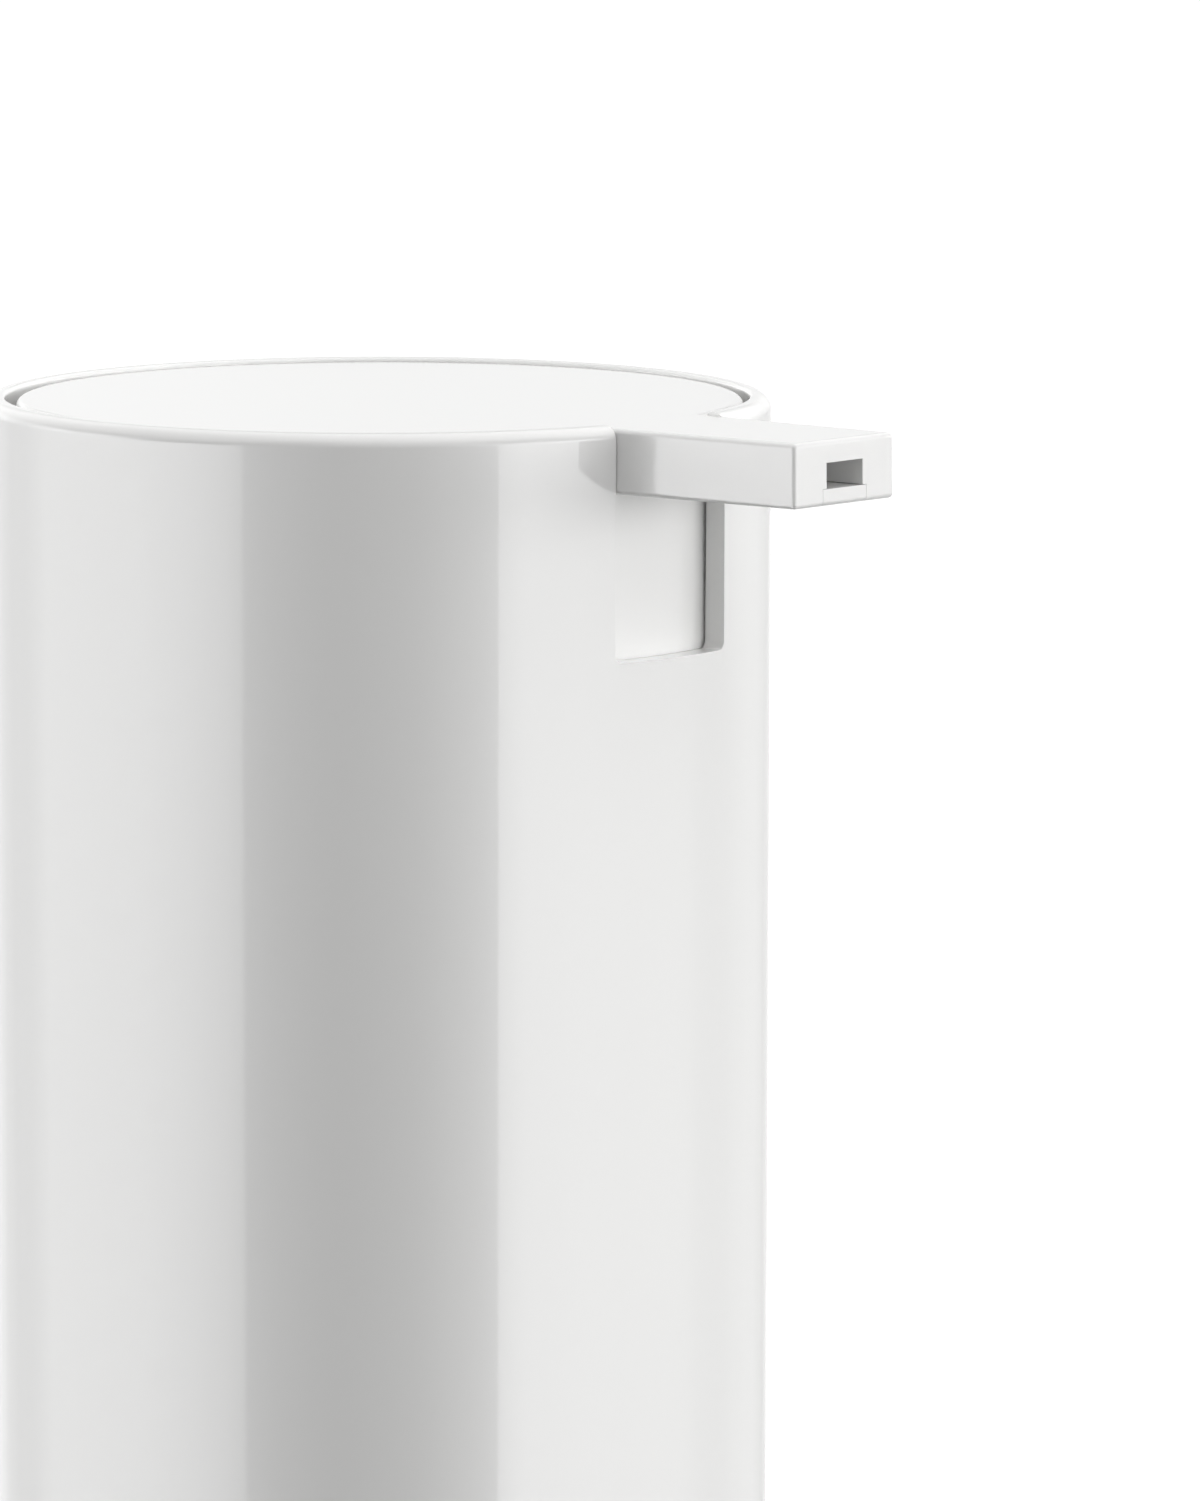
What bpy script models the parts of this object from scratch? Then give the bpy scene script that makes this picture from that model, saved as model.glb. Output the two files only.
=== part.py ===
"""A press-top liquid soap dispenser: a cup-shaped casing, a lift-out bottle and its pump.

Metres, +Z up. The origin is the centre of the foot pad's underside, and the spout points along -Y.
"""

import math

import bmesh
import bpy
from mathutils import Matrix, Vector

mm = 0.001

# Casing
casing_height = 150.0 * mm
casing_radius = 36.0 * mm
casing_outer_draft = 0.2
casing_wall = 2.05 * mm
casing_inner_draft = 0.6
casing_floor = 2.5 * mm
casing_ground_gap = 0.7 * mm
rim_outer_fillet = 0.84 * mm
rim_inner_fillet = 0.4 * mm
casing_base_fillet = 0.8 * mm
casing_floor_fillet = 3.0 * mm

# Foot pad
pad_inset = 6.3 * mm
pad_thickness = 1.6 * mm
pad_edge_fillet = 0.3 * mm

# Slot in the casing, which the spout runs down
slot_side_gap = 0.3 * mm
slot_corner = 0.8 * mm
slot_spare_travel = 1.24 * mm

# Button and spout
button_gap = 0.75 * mm
button_forward = 0.3 * mm
button_below_rim = 0.3 * mm
button_thickness = 2.0 * mm
button_edge_fillet = 0.65 * mm
button_lip_wall = 1.6 * mm
button_stroke = 14.0 * mm
spout_reach = 55.1 * mm
spout_height = 5.86 * mm
spout_root_width = 14.6 * mm
spout_tip_width = 13.7 * mm
spout_draft = 0.6
spout_fillet = 0.45 * mm
channel_width = 5.0 * mm
channel_height = 2.35 * mm
spout_floor_width = 5.7 * mm
spout_floor_thickness = 1.51 * mm
socket_ring_wall = 1.8 * mm

# Shutter that closes the slot from behind
shutter_wall = 1.6 * mm
shutter_run_gap = 0.15 * mm
shutter_fillet = 0.2 * mm
shutter_side_cover = 1.0 * mm
shutter_below_sill = 1.2 * mm
shutter_tab_length = 14.0 * mm
shutter_tab_thickness = 1.8 * mm
peg_radius = 1.0 * mm
peg_length = 2.0 * mm
peg_spread = 5.2 * mm
peg_from_wall = 8.0 * mm

# Socket under the button
socket_head_radius = 9.9 * mm
socket_radius = 7.5 * mm
socket_length = 12.0 * mm
socket_stem_depth = 6.0 * mm
socket_port_radius = 1.6 * mm
socket_slit_length = 4.8 * mm
socket_slit_width = 1.0 * mm
socket_step = 0.5 * mm
socket_foot_fillet = 0.5 * mm

# Bottle
bottle_gap = 0.825 * mm
bottle_wall = 1.2 * mm
bottle_heel = 5.0 * mm
bottle_shoulder_height = 8.0 * mm
bottle_shoulder_fillet = 6.0 * mm
neck_root_fillet = 1.0 * mm
neck_radius = 12.55 * mm
neck_wall = 1.75 * mm
neck_height = 10.3 * mm

# Screw thread between bottle and collar
thread_pitch = 4.2 * mm
thread_height = 1.2 * mm
thread_root = 1.7 * mm
thread_crest = 0.9 * mm
thread_turns = 1.3333
thread_sunk = 0.4 * mm
thread_below_mouth = 3.4 * mm
thread_end_share = 0.25

# Collar and gasket
collar_wall = 2.2 * mm
collar_web = 1.6 * mm
collar_skirt = 13.0 * mm
collar_rib = 0.5 * mm
collar_ribs = 24
collar_edge_fillet = 0.8 * mm
gasket_thickness = 1.0 * mm

# Pump barrel
barrel_bore = 6.75 * mm
barrel_wall = 1.25 * mm
barrel_flange_thickness = 1.5 * mm
barrel_above_flange = 2.2 * mm
barrel_depth = 40.0 * mm
valve_chamber_radius = 3.2 * mm
valve_chamber_depth = 4.6 * mm
inlet_port_radius = 1.9 * mm
tube_socket_depth = 8.5 * mm
tube_socket_wall = 1.4 * mm
inlet_web = 1.3 * mm
barrel_foot_taper = 5.0 * mm

# Barrel cap and wiper
cap_flange_overhang = 1.3 * mm
cap_flange_thickness = 1.2 * mm
cap_skirt_length = 7.6 * mm
wiper_width = 1.1 * mm
wiper_depth = 2.2 * mm
wiper_lip = 0.55 * mm

# Stem, rod and piston
stem_radius = 4.0 * mm
stem_bore = 1.9 * mm
stem_foot_flange = 5.4 * mm
stem_foot_thickness = 1.7 * mm
rod_radius = 1.5 * mm
rod_in_stem = 6.0 * mm
rod_head_radius = 5.5 * mm
rod_head_thickness = 1.3 * mm
rod_tail_radius = 1.2 * mm
rod_tail_length = 5.0 * mm
rod_head_ports = 3
rod_port_radius = 0.8 * mm
piston_height = 5.1 * mm
piston_lip = 0.7 * mm
piston_web = 1.8 * mm
piston_sleeve_wall = 1.15 * mm

# Valve balls and the inlet ball's cage
inlet_ball_radius = 2.2 * mm
inlet_ball_lift = 1.5 * mm
outlet_ball_radius = 2.0 * mm
outlet_ball_lift = 1.2 * mm
outlet_chamber_radius = 2.5 * mm
outlet_port_radius = 1.5 * mm
outlet_port_length = 1.5 * mm
cage_thickness = 1.2 * mm
cage_post_radius = 0.9 * mm
cage_ports = 3
cage_port_radius = 1.0 * mm
cage_port_circle = 2.6 * mm

# Spring
spring_wire = 0.8 * mm
spring_mean_radius = 4.9 * mm
spring_curls = 6.0
spring_end_lift = 1.28 * mm
spring_points_per_curl = 10

# Dip tube
tube_radius = 2.75 * mm
tube_wall = 0.65 * mm
tube_above_bottom = 1.6 * mm
tube_end_slope = 0.5

# Clearances
seat_gap = 0.3 * mm
thread_gap = 0.3 * mm
socket_over_cap = 0.9 * mm

# Facets
round_steps = 64
small_steps = 36
tiny_steps = 24
ball_steps = 16
fillet_steps = 3

# How far a cut runs past what it cuts, and how far joined shapes run into each other
cut_past = 5.0 * mm
run_in = 1.0 * mm


def tangent(degrees):
    return math.tan(math.radians(degrees))


def ball_rise(radius, port_radius):
    """Height of a ball's centre over the edge of the port that it closes, with its seat gap."""
    return math.sqrt(radius ** 2 - port_radius ** 2) + seat_gap


def casing_inner_radius(z):
    """The casing's bore, which narrows downwards by its draft."""
    return casing_radius - casing_wall - (casing_height - z) * tangent(casing_inner_draft)


def casing_outer_radius(z):
    return casing_radius - (casing_height - z) * tangent(casing_outer_draft)


# Levels and radii that follow from the sizes above
casing_underside_z = casing_ground_gap
pad_radius = casing_radius - pad_inset
pad_recess_z = pad_thickness + seat_gap
casing_floor_z = pad_recess_z + casing_floor
rim_inner_radius = casing_inner_radius(casing_height)
button_radius = rim_inner_radius - button_gap
button_top_z = casing_height - button_below_rim
button_underside_z = button_top_z - button_thickness
spout_underside_z = button_top_z - spout_height
slot_half_width = spout_root_width / 2 + slot_side_gap
slot_sill_z = spout_underside_z - button_stroke - slot_spare_travel
channel_roof_z = button_top_z - button_thickness
spout_floor_top_z = channel_roof_z - channel_height
spout_floor_underside_z = spout_floor_top_z - spout_floor_thickness
spout_ledge_z = spout_floor_top_z + seat_gap
socket_ring_radius = socket_head_radius + seat_gap
socket_top_z = button_underside_z - seat_gap
socket_bottom_z = button_top_z - socket_length
socket_roof_z = socket_bottom_z + socket_stem_depth
stem_top_z = socket_roof_z - seat_gap
cap_top_z = socket_bottom_z - button_stroke - socket_over_cap
barrel_top_z = cap_top_z - cap_flange_thickness - seat_gap
flange_top_z = barrel_top_z - barrel_above_flange
flange_underside_z = flange_top_z - barrel_flange_thickness
gasket_underside_z = flange_underside_z - seat_gap - gasket_thickness
neck_top_z = gasket_underside_z - seat_gap
shoulder_top_z = neck_top_z - neck_height
bottle_bottom_z = casing_floor_z + seat_gap
bottle_radius = casing_inner_radius(casing_floor_z) - bottle_gap
bottle_shoulder_z = shoulder_top_z - bottle_shoulder_height
barrel_radius = barrel_bore + barrel_wall
barrel_floor_z = barrel_top_z - barrel_depth
chamber_floor_z = barrel_floor_z - valve_chamber_depth
seat_edge_z = chamber_floor_z - (valve_chamber_radius - inlet_port_radius)
tube_socket_roof_z = seat_edge_z - inlet_web
tube_top_z = tube_socket_roof_z - seat_gap
barrel_bottom_z = tube_socket_roof_z - tube_socket_depth
cap_skirt_bottom_z = barrel_top_z - cap_skirt_length
wiper_radius = stem_radius + seat_gap
wiper_bottom_z = cap_top_z - seat_gap - wiper_depth
wiper_pocket_radius = wiper_radius + wiper_width + seat_gap
wiper_pocket_z = wiper_bottom_z - seat_gap
stem_foot_top_z = cap_skirt_bottom_z - seat_gap
stem_bottom_z = stem_foot_top_z - stem_foot_thickness
piston_top_z = stem_bottom_z - seat_gap
piston_bottom_z = piston_top_z - piston_height
rod_head_top_z = piston_bottom_z - seat_gap
rod_head_bottom_z = rod_head_top_z - rod_head_thickness
cage_bottom_z = barrel_floor_z + seat_gap
cage_top_z = cage_bottom_z + cage_thickness
spring_bottom_z = cage_top_z + seat_gap
spring_top_z = rod_head_bottom_z - seat_gap
inlet_ball_z = seat_edge_z + ball_rise(inlet_ball_radius, inlet_port_radius)
outlet_ball_z = socket_roof_z - seat_gap - outlet_ball_lift - outlet_ball_radius
outlet_seat_z = outlet_ball_z - ball_rise(outlet_ball_radius, outlet_port_radius)
thread_outer_radius = neck_radius + thread_height
collar_inner_radius = thread_outer_radius + thread_gap
thread_start_z = neck_top_z - thread_below_mouth - thread_turns * thread_pitch / 2


def clear_scene():
    for item in list(bpy.data.objects):
        bpy.data.objects.remove(item, do_unlink=True)


def material(name, colour, roughness, metallic=0.0, alpha=1.0):
    made = bpy.data.materials.new(name)
    made.use_nodes = True
    shader = made.node_tree.nodes["Principled BSDF"]
    shader.inputs["Base Color"].default_value = (*colour, 1.0)
    shader.inputs["Roughness"].default_value = roughness
    shader.inputs["Metallic"].default_value = metallic
    shader.inputs["Alpha"].default_value = alpha
    made.diffuse_color = (*colour, alpha)
    return made


def object_from(bm, name, look, smooth=True):
    """Links a bmesh as a named object, with round faces shaded smooth."""
    bmesh.ops.recalc_face_normals(bm, faces=bm.faces[:])
    mesh = bpy.data.meshes.new(name)
    bm.to_mesh(mesh)
    bm.free()
    if smooth:
        mesh.shade_smooth()
        mesh.set_sharp_from_angle(angle=math.radians(30))
    made = bpy.data.objects.new(name, mesh)
    if look is not None:
        mesh.materials.append(look)
    bpy.context.scene.collection.objects.link(made)
    return made


def rounded(corners, steps=fillet_steps):
    """Points of an outline whose corners are (x, z) or (x, z, fillet radius)."""
    points = []
    for index, corner in enumerate(corners):
        here = Vector(corner[:2])
        radius = corner[2] if len(corner) > 2 else 0.0
        if radius == 0.0:
            points.append(here)
            continue
        back = (Vector(corners[index - 1][:2]) - here).normalized()
        ahead = (Vector(corners[(index + 1) % len(corners)][:2]) - here).normalized()
        half_angle = back.angle(ahead) / 2
        start = here + back * (radius / math.tan(half_angle))
        end = here + ahead * (radius / math.tan(half_angle))
        centre = here + (back + ahead).normalized() * (radius / math.sin(half_angle))
        turn = (start - centre).angle_signed(end - centre)
        for step in range(steps + 1):
            points.append(centre + Matrix.Rotation(-turn * step / steps, 2) @ (start - centre))
    return points


def turned_mesh(corners, steps, fillets=fillet_steps):
    """A closed profile of (radius, z) corners turned about Z."""
    bm = bmesh.new()
    outline = [bm.verts.new((max(point.x, 0.0), 0.0, point.y)) for point in rounded(corners, fillets)]
    sides = zip(outline, outline[1:] + outline[:1])
    edges = [bm.edges.new(side) for side in sides if side[0].co.x > 0 or side[1].co.x > 0]
    bmesh.ops.spin(
        bm, geom=outline + edges, cent=(0, 0, 0), axis=(0, 0, 1), angle=math.tau, steps=steps, use_merge=True
    )
    bmesh.ops.remove_doubles(bm, verts=bm.verts[:], dist=1e-7)
    bmesh.ops.dissolve_degenerate(bm, edges=bm.edges[:], dist=1e-7)
    return bm


def turned(name, corners, look, steps=small_steps, fillets=fillet_steps):
    return object_from(turned_mesh(corners, steps, fillets), name, look)


def box_mesh(low, high):
    bm = bmesh.new()
    bmesh.ops.create_cube(bm, size=1.0)
    for vert in bm.verts:
        share = vert.co + Vector((0.5, 0.5, 0.5))
        vert.co = Vector(low) + Vector((share[i] * (high[i] - low[i]) for i in range(3)))
    return bm


def extruded_mesh(points, depth):
    """A closed outline in XZ, extruded along Y from 0 to depth."""
    bm = bmesh.new()
    face = bm.faces.new([bm.verts.new((point.x, 0.0, point.y)) for point in points])
    grown = bmesh.ops.extrude_face_region(bm, geom=[face])
    moved = [item for item in grown["geom"] if isinstance(item, bmesh.types.BMVert)]
    bmesh.ops.translate(bm, verts=moved, vec=(0.0, depth, 0.0))
    return bm


def cylinder_mesh(radius, low_z, high_z, place=(0.0, 0.0), steps=tiny_steps):
    bm = turned_mesh([(0, low_z), (radius, low_z), (radius, high_z), (0, high_z)], steps)
    bmesh.ops.translate(bm, verts=bm.verts[:], vec=(*place, 0.0))
    return bm


def cutter(bm, name):
    made = object_from(bm, name, None, smooth=False)
    made.hide_render = True
    made.display_type = "WIRE"
    return made


def combine(target, other, operation):
    step = target.modifiers.new(f"{operation.lower()} {other.name}", "BOOLEAN")
    step.operation = operation
    step.solver = "EXACT"
    step.object = other


def cut(target, bm, name):
    combine(target, cutter(bm, name), "DIFFERENCE")


def join(target, bm, name):
    combine(target, cutter(bm, name), "UNION")


def parent_with_cutters(piece, parent):
    """Parents a piece together with the shapes that its modifiers use."""
    piece.parent = parent
    for step in piece.modifiers:
        parent_with_cutters(step.object, parent)


def make_casing(look):
    """A cup with an open top, a slot down its front and a shallow recess underneath."""
    recess_radius = pad_radius + seat_gap
    casing = turned(
        "casing",
        [
            (0, casing_floor_z),
            (casing_inner_radius(casing_floor_z), casing_floor_z, casing_floor_fillet),
            (rim_inner_radius, casing_height, rim_inner_fillet),
            (casing_radius, casing_height, rim_outer_fillet),
            (casing_outer_radius(casing_underside_z), casing_underside_z, casing_base_fillet),
            (recess_radius, casing_underside_z),
            (recess_radius, pad_recess_z),
            (0, pad_recess_z),
        ],
        look,
        round_steps,
    )
    slot_top_z = casing_height + cut_past
    outline = rounded(
        [
            (-slot_half_width, slot_sill_z, slot_corner),
            (slot_half_width, slot_sill_z, slot_corner),
            (slot_half_width, slot_top_z),
            (-slot_half_width, slot_top_z),
        ]
    )
    slot = extruded_mesh(outline, -2 * cut_past)
    bmesh.ops.translate(slot, verts=slot.verts[:], vec=(0.0, -(rim_inner_radius - cut_past), 0.0))
    cut(casing, slot, "slot_cutter")
    return casing


def make_foot_pad(look):
    return turned(
        "foot_pad",
        [
            (0, 0),
            (pad_radius, 0, pad_edge_fillet),
            (pad_radius, pad_thickness, pad_edge_fillet),
            (0, pad_thickness),
        ],
        look,
        round_steps,
        2,
    )


def spout_half_width(reach):
    """Half the spout's width at its top, at a distance from the casing's axis."""
    share = (reach - casing_radius) / (spout_reach - casing_radius)
    return (spout_root_width + (spout_tip_width - spout_root_width) * share) / 2


def spout_mesh():
    """The tapered bar from the socket ring out to the tip, wider at its foot by its draft."""
    inner_reach = socket_ring_radius - run_in
    flare = spout_height * tangent(spout_draft)
    bm = bmesh.new()
    ring = []
    for reach, grow in ((inner_reach, 0.0), (spout_reach, flare)):
        half = spout_half_width(reach)
        top, foot = button_top_z, spout_underside_z
        ring.append(
            [
                bm.verts.new(place)
                for place in (
                    (-half, -reach, top),
                    (half, -reach, top),
                    (half + flare, -reach - grow, foot),
                    (-half - flare, -reach - grow, foot),
                )
            ]
        )
    for i in range(4):
        bm.faces.new((ring[0][i], ring[0][(i + 1) % 4], ring[1][(i + 1) % 4], ring[1][i]))
    bm.faces.new(ring[0][::-1])
    bm.faces.new(ring[1])
    inner = set(ring[0])
    outer_edges = [edge for edge in bm.edges if not (edge.verts[0] in inner and edge.verts[1] in inner)]
    bmesh.ops.bevel(
        bm,
        geom=outer_edges,
        offset=spout_fillet,
        segments=fillet_steps,
        profile=0.5,
        affect="EDGES",
        material=-1,
    )
    return bm


def make_spout_bar():
    """The spout as a solid to join to the button, its inner end hollowed to stop in the ring's wall."""
    bar = cutter(spout_mesh(), "spout_bar")
    ring_middle = socket_ring_radius + socket_ring_wall / 2
    low_z, high_z = spout_underside_z - cut_past, button_top_z + cut_past
    cut(bar, cylinder_mesh(ring_middle, low_z, high_z, steps=small_steps), "spout_inner_end")
    return bar


def make_press_button(look):
    """The disc with its lip, the spout in one piece with it, and the ring that holds the socket."""
    lip_inner = button_radius - button_lip_wall
    button = turned(
        "press_button",
        [
            (0, button_underside_z),
            (lip_inner, button_underside_z),
            (lip_inner, spout_underside_z),
            (button_radius, spout_underside_z),
            (button_radius, button_top_z, button_edge_fillet),
            (0, button_top_z),
        ],
        look,
        round_steps,
    )
    combine(button, make_spout_bar(), "UNION")
    ring = turned_mesh(
        [
            (socket_ring_radius, spout_underside_z),
            (socket_ring_radius + socket_ring_wall, spout_underside_z),
            (socket_ring_radius + socket_ring_wall, button_underside_z + run_in),
            (socket_ring_radius, button_underside_z + run_in),
        ],
        small_steps,
    )
    join(button, ring, "socket_ring")
    far = spout_reach + cut_past
    half = channel_width / 2
    channel = box_mesh((-half, -far, spout_ledge_z - run_in), (half, 0, channel_roof_z))
    cut(button, channel, "channel")
    half = spout_floor_width / 2 + seat_gap
    recess = box_mesh((-half, -far, spout_underside_z - cut_past), (half, 0, spout_ledge_z))
    cut(button, recess, "floor_recess")
    for side in (-1, 1):
        place = (side * peg_spread, -peg_reach())
        peg = cylinder_mesh(peg_radius, spout_underside_z - peg_length, button_underside_z, place)
        join(button, peg, f"peg_{'left' if side < 0 else 'right'}")
    return button


def peg_reach():
    """How far the shutter's pegs stand from the axis."""
    return shutter_outer_radius() - shutter_wall - peg_from_wall


def shutter_outer_radius():
    """The shutter stays clear of the drafted casing wall at the foot of its travel."""
    lowest = slot_sill_z - shutter_below_sill - button_stroke
    return casing_inner_radius(lowest) - shutter_run_gap - button_forward


def make_spout_floor(look):
    """The strip pressed into the underside of the spout, which closes its channel."""
    half = spout_floor_width / 2
    inner_reach = socket_ring_radius + seat_gap
    flare = spout_height * tangent(spout_draft)
    bm = box_mesh(
        (-half, -spout_reach - flare, spout_floor_underside_z), (half, -inner_reach, spout_floor_top_z)
    )
    return object_from(bm, "spout_floor", look, smooth=False)


def make_stem_socket(look):
    """The plug between button and stem, with a port that opens into the spout's channel."""
    head_bottom_z = spout_underside_z - socket_step
    socket = turned(
        "stem_socket",
        [
            (socket_port_radius, socket_top_z),
            (socket_port_radius, socket_roof_z),
            (stem_radius + seat_gap, socket_roof_z),
            (stem_radius + seat_gap, socket_bottom_z),
            (socket_radius, socket_bottom_z, socket_foot_fillet),
            (socket_radius, head_bottom_z),
            (socket_head_radius, head_bottom_z),
            (socket_head_radius, socket_top_z),
        ],
        look,
    )
    half = channel_width / 2
    far = socket_head_radius + cut_past
    port = box_mesh((-half, -far, spout_floor_top_z), (half, 0, socket_top_z + cut_past))
    cut(socket, port, "socket_port")
    half = socket_slit_width / 2
    slit = box_mesh(
        (-socket_slit_length / 2, -half, socket_roof_z - run_in),
        (socket_slit_length / 2, half, socket_top_z + cut_past),
    )
    cut(socket, slit, "socket_slit")
    return socket


def make_slot_shutter(look):
    """A curved blade behind the slot that overlaps its edges, with a tab pegged under the spout's root."""
    outer = shutter_outer_radius()
    inner = outer - shutter_wall
    tab_end = inner - shutter_tab_length
    low_z = slot_sill_z - shutter_below_sill
    high_z = spout_underside_z - seat_gap
    tab_bottom_z = high_z - shutter_tab_thickness
    shutter = turned(
        "slot_shutter",
        [
            (inner, low_z),
            (outer, low_z, shutter_fillet),
            (outer, high_z),
            (tab_end, high_z),
            (tab_end, tab_bottom_z),
            (inner, tab_bottom_z),
        ],
        look,
        round_steps * 2,
        2,
    )
    half = slot_half_width + shutter_side_cover
    keep = box_mesh((-half, -casing_radius, low_z - cut_past), (half, 0, high_z + cut_past))
    combine(shutter, cutter(keep, "shutter_width"), "INTERSECT")
    for side in (-1, 1):
        place = (side * peg_spread, -peg_reach())
        hole = cylinder_mesh(peg_radius + seat_gap, high_z - cut_past, high_z + cut_past, place)
        cut(shutter, hole, f"peg_hole_{'left' if side < 0 else 'right'}")
    return shutter


def thread_mesh(base_radius, crest_radius, start_z, turns, steps_per_turn):
    """A trapezoid ridge along a right-handed helix, from a sunk base to its crest."""
    bm = bmesh.new()
    sections = []
    count = int(round(turns * steps_per_turn))
    for step in range(count + 1):
        angle = math.tau * turns * step / count
        from_end = min(step, count - step) / count
        taper = min(1.0, thread_end_share + from_end / thread_end_share)
        crest = base_radius + (crest_radius - base_radius) * taper
        middle_z = start_z + thread_pitch * angle / math.tau
        section = []
        for radius, rise in (
            (base_radius, -thread_root / 2),
            (crest, -thread_crest / 2),
            (crest, thread_crest / 2),
            (base_radius, thread_root / 2),
        ):
            section.append(
                bm.verts.new((radius * math.cos(angle), radius * math.sin(angle), middle_z + rise))
            )
        sections.append(section)
    for low, high in zip(sections, sections[1:]):
        for i in range(4):
            bm.faces.new((low[i], low[(i + 1) % 4], high[(i + 1) % 4], high[i]))
    bm.faces.new(sections[0])
    bm.faces.new(sections[-1][::-1])
    return bm


def make_bottle(look):
    """The lift-out reservoir: thin walls, rounded heel and shoulder, threaded neck."""
    inner = bottle_radius - bottle_wall
    neck_bore = neck_radius - neck_wall
    bottle = turned(
        "bottle",
        [
            (0, bottle_bottom_z),
            (bottle_radius, bottle_bottom_z, bottle_heel),
            (bottle_radius, bottle_shoulder_z, bottle_shoulder_fillet),
            (neck_radius, shoulder_top_z, neck_root_fillet),
            (neck_radius, neck_top_z),
            (neck_bore, neck_top_z),
            (neck_bore, shoulder_top_z - bottle_wall, neck_root_fillet),
            (inner, bottle_shoulder_z - bottle_wall / 2, bottle_shoulder_fillet - bottle_wall),
            (inner, bottle_bottom_z + bottle_wall, bottle_heel - bottle_wall),
            (0, bottle_bottom_z + bottle_wall),
        ],
        look,
        round_steps * 3 // 4,
    )
    ridge = thread_mesh(
        neck_radius - thread_sunk, thread_outer_radius, thread_start_z, thread_turns, small_steps // 2
    )
    join(bottle, ridge, "neck_thread")
    return bottle


def make_screw_collar(look):
    """The cap ring that clamps the pump's flange on the bottle's neck, with ribs to grip it by."""
    outer = collar_inner_radius + collar_wall
    web_underside_z = flange_top_z + seat_gap
    top_z = web_underside_z + collar_web
    bottom_z = top_z - collar_web - collar_skirt
    bm = turned_mesh(
        [
            (barrel_radius + seat_gap, top_z),
            (outer, top_z, collar_edge_fillet),
            (outer, bottom_z),
            (collar_inner_radius, bottom_z),
            (collar_inner_radius, web_underside_z),
            (barrel_radius + seat_gap, web_underside_z),
        ],
        collar_ribs * 4,
        2,
    )
    for vert in bm.verts:
        angle = math.atan2(vert.co.y, vert.co.x) % math.tau
        on_skirt = vert.co.xy.length > outer - collar_rib / 10
        if on_skirt and round(angle / math.tau * collar_ribs * 4) % 4 < 2:
            vert.co.xy *= (outer + collar_rib) / outer
    collar = object_from(bm, "screw_collar", look)
    ridge_start_z = thread_start_z - thread_pitch / 2
    ridge = thread_mesh(
        collar_inner_radius + thread_sunk,
        neck_radius + thread_gap,
        ridge_start_z,
        thread_turns,
        small_steps // 2,
    )
    join(collar, ridge, "collar_thread")
    return collar


def make_neck_gasket(look):
    return turned(
        "neck_gasket",
        [
            (barrel_radius + seat_gap, gasket_underside_z),
            (neck_radius, gasket_underside_z),
            (neck_radius, gasket_underside_z + gasket_thickness),
            (barrel_radius + seat_gap, gasket_underside_z + gasket_thickness),
        ],
        look,
    )


def make_pump_barrel(look):
    """The pump's cylinder: flange, bore, valve chamber with a conical seat, and the tube's socket."""
    socket_bore = tube_radius + seat_gap
    socket_outer = socket_bore + tube_socket_wall
    return turned(
        "pump_barrel",
        [
            (barrel_bore, barrel_top_z),
            (barrel_radius, barrel_top_z),
            (barrel_radius, flange_top_z),
            (neck_radius, flange_top_z),
            (neck_radius, flange_underside_z),
            (barrel_radius, flange_underside_z),
            (barrel_radius, barrel_floor_z - barrel_wall),
            (socket_outer, barrel_floor_z - barrel_wall - barrel_foot_taper),
            (socket_outer, barrel_bottom_z),
            (socket_bore, barrel_bottom_z),
            (socket_bore, tube_socket_roof_z),
            (inlet_port_radius, tube_socket_roof_z),
            (inlet_port_radius, seat_edge_z),
            (valve_chamber_radius, chamber_floor_z),
            (valve_chamber_radius, barrel_floor_z),
            (barrel_bore, barrel_floor_z),
        ],
        look,
    )


def make_barrel_cap(look):
    """The ring snapped into the barrel's mouth: it guides the stem and stops it coming out."""
    bore = stem_radius + seat_gap
    skirt = barrel_bore - seat_gap
    return turned(
        "barrel_cap",
        [
            (bore, cap_skirt_bottom_z),
            (skirt, cap_skirt_bottom_z),
            (skirt, barrel_top_z + seat_gap),
            (barrel_radius + cap_flange_overhang, barrel_top_z + seat_gap),
            (barrel_radius + cap_flange_overhang, cap_top_z),
            (wiper_pocket_radius, cap_top_z),
            (wiper_pocket_radius, wiper_pocket_z),
            (bore, wiper_pocket_z),
        ],
        look,
    )


def make_stem_wiper(look):
    top_z = wiper_bottom_z + wiper_depth
    outer = wiper_radius + wiper_width
    return turned(
        "stem_wiper",
        [
            (wiper_radius, wiper_bottom_z),
            (outer, wiper_bottom_z),
            (outer, top_z),
            ((wiper_radius + outer) / 2, top_z - wiper_lip),
            (wiper_radius, top_z),
        ],
        look,
    )


def make_pump_stem(look):
    """The hollow stem, with the outlet ball's seat at its top and a stop flange at its foot."""
    return turned(
        "pump_stem",
        [
            (stem_bore, stem_bottom_z),
            (stem_foot_flange, stem_bottom_z),
            (stem_foot_flange, stem_foot_top_z),
            (stem_radius, stem_foot_top_z),
            (stem_radius, stem_top_z),
            (outlet_chamber_radius, stem_top_z),
            (outlet_chamber_radius, outlet_seat_z + outlet_chamber_radius - outlet_port_radius),
            (outlet_port_radius, outlet_seat_z),
            (outlet_port_radius, outlet_seat_z - outlet_port_length),
            (stem_bore, outlet_seat_z - outlet_port_length - (stem_bore - outlet_port_radius)),
        ],
        look,
    )


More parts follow.
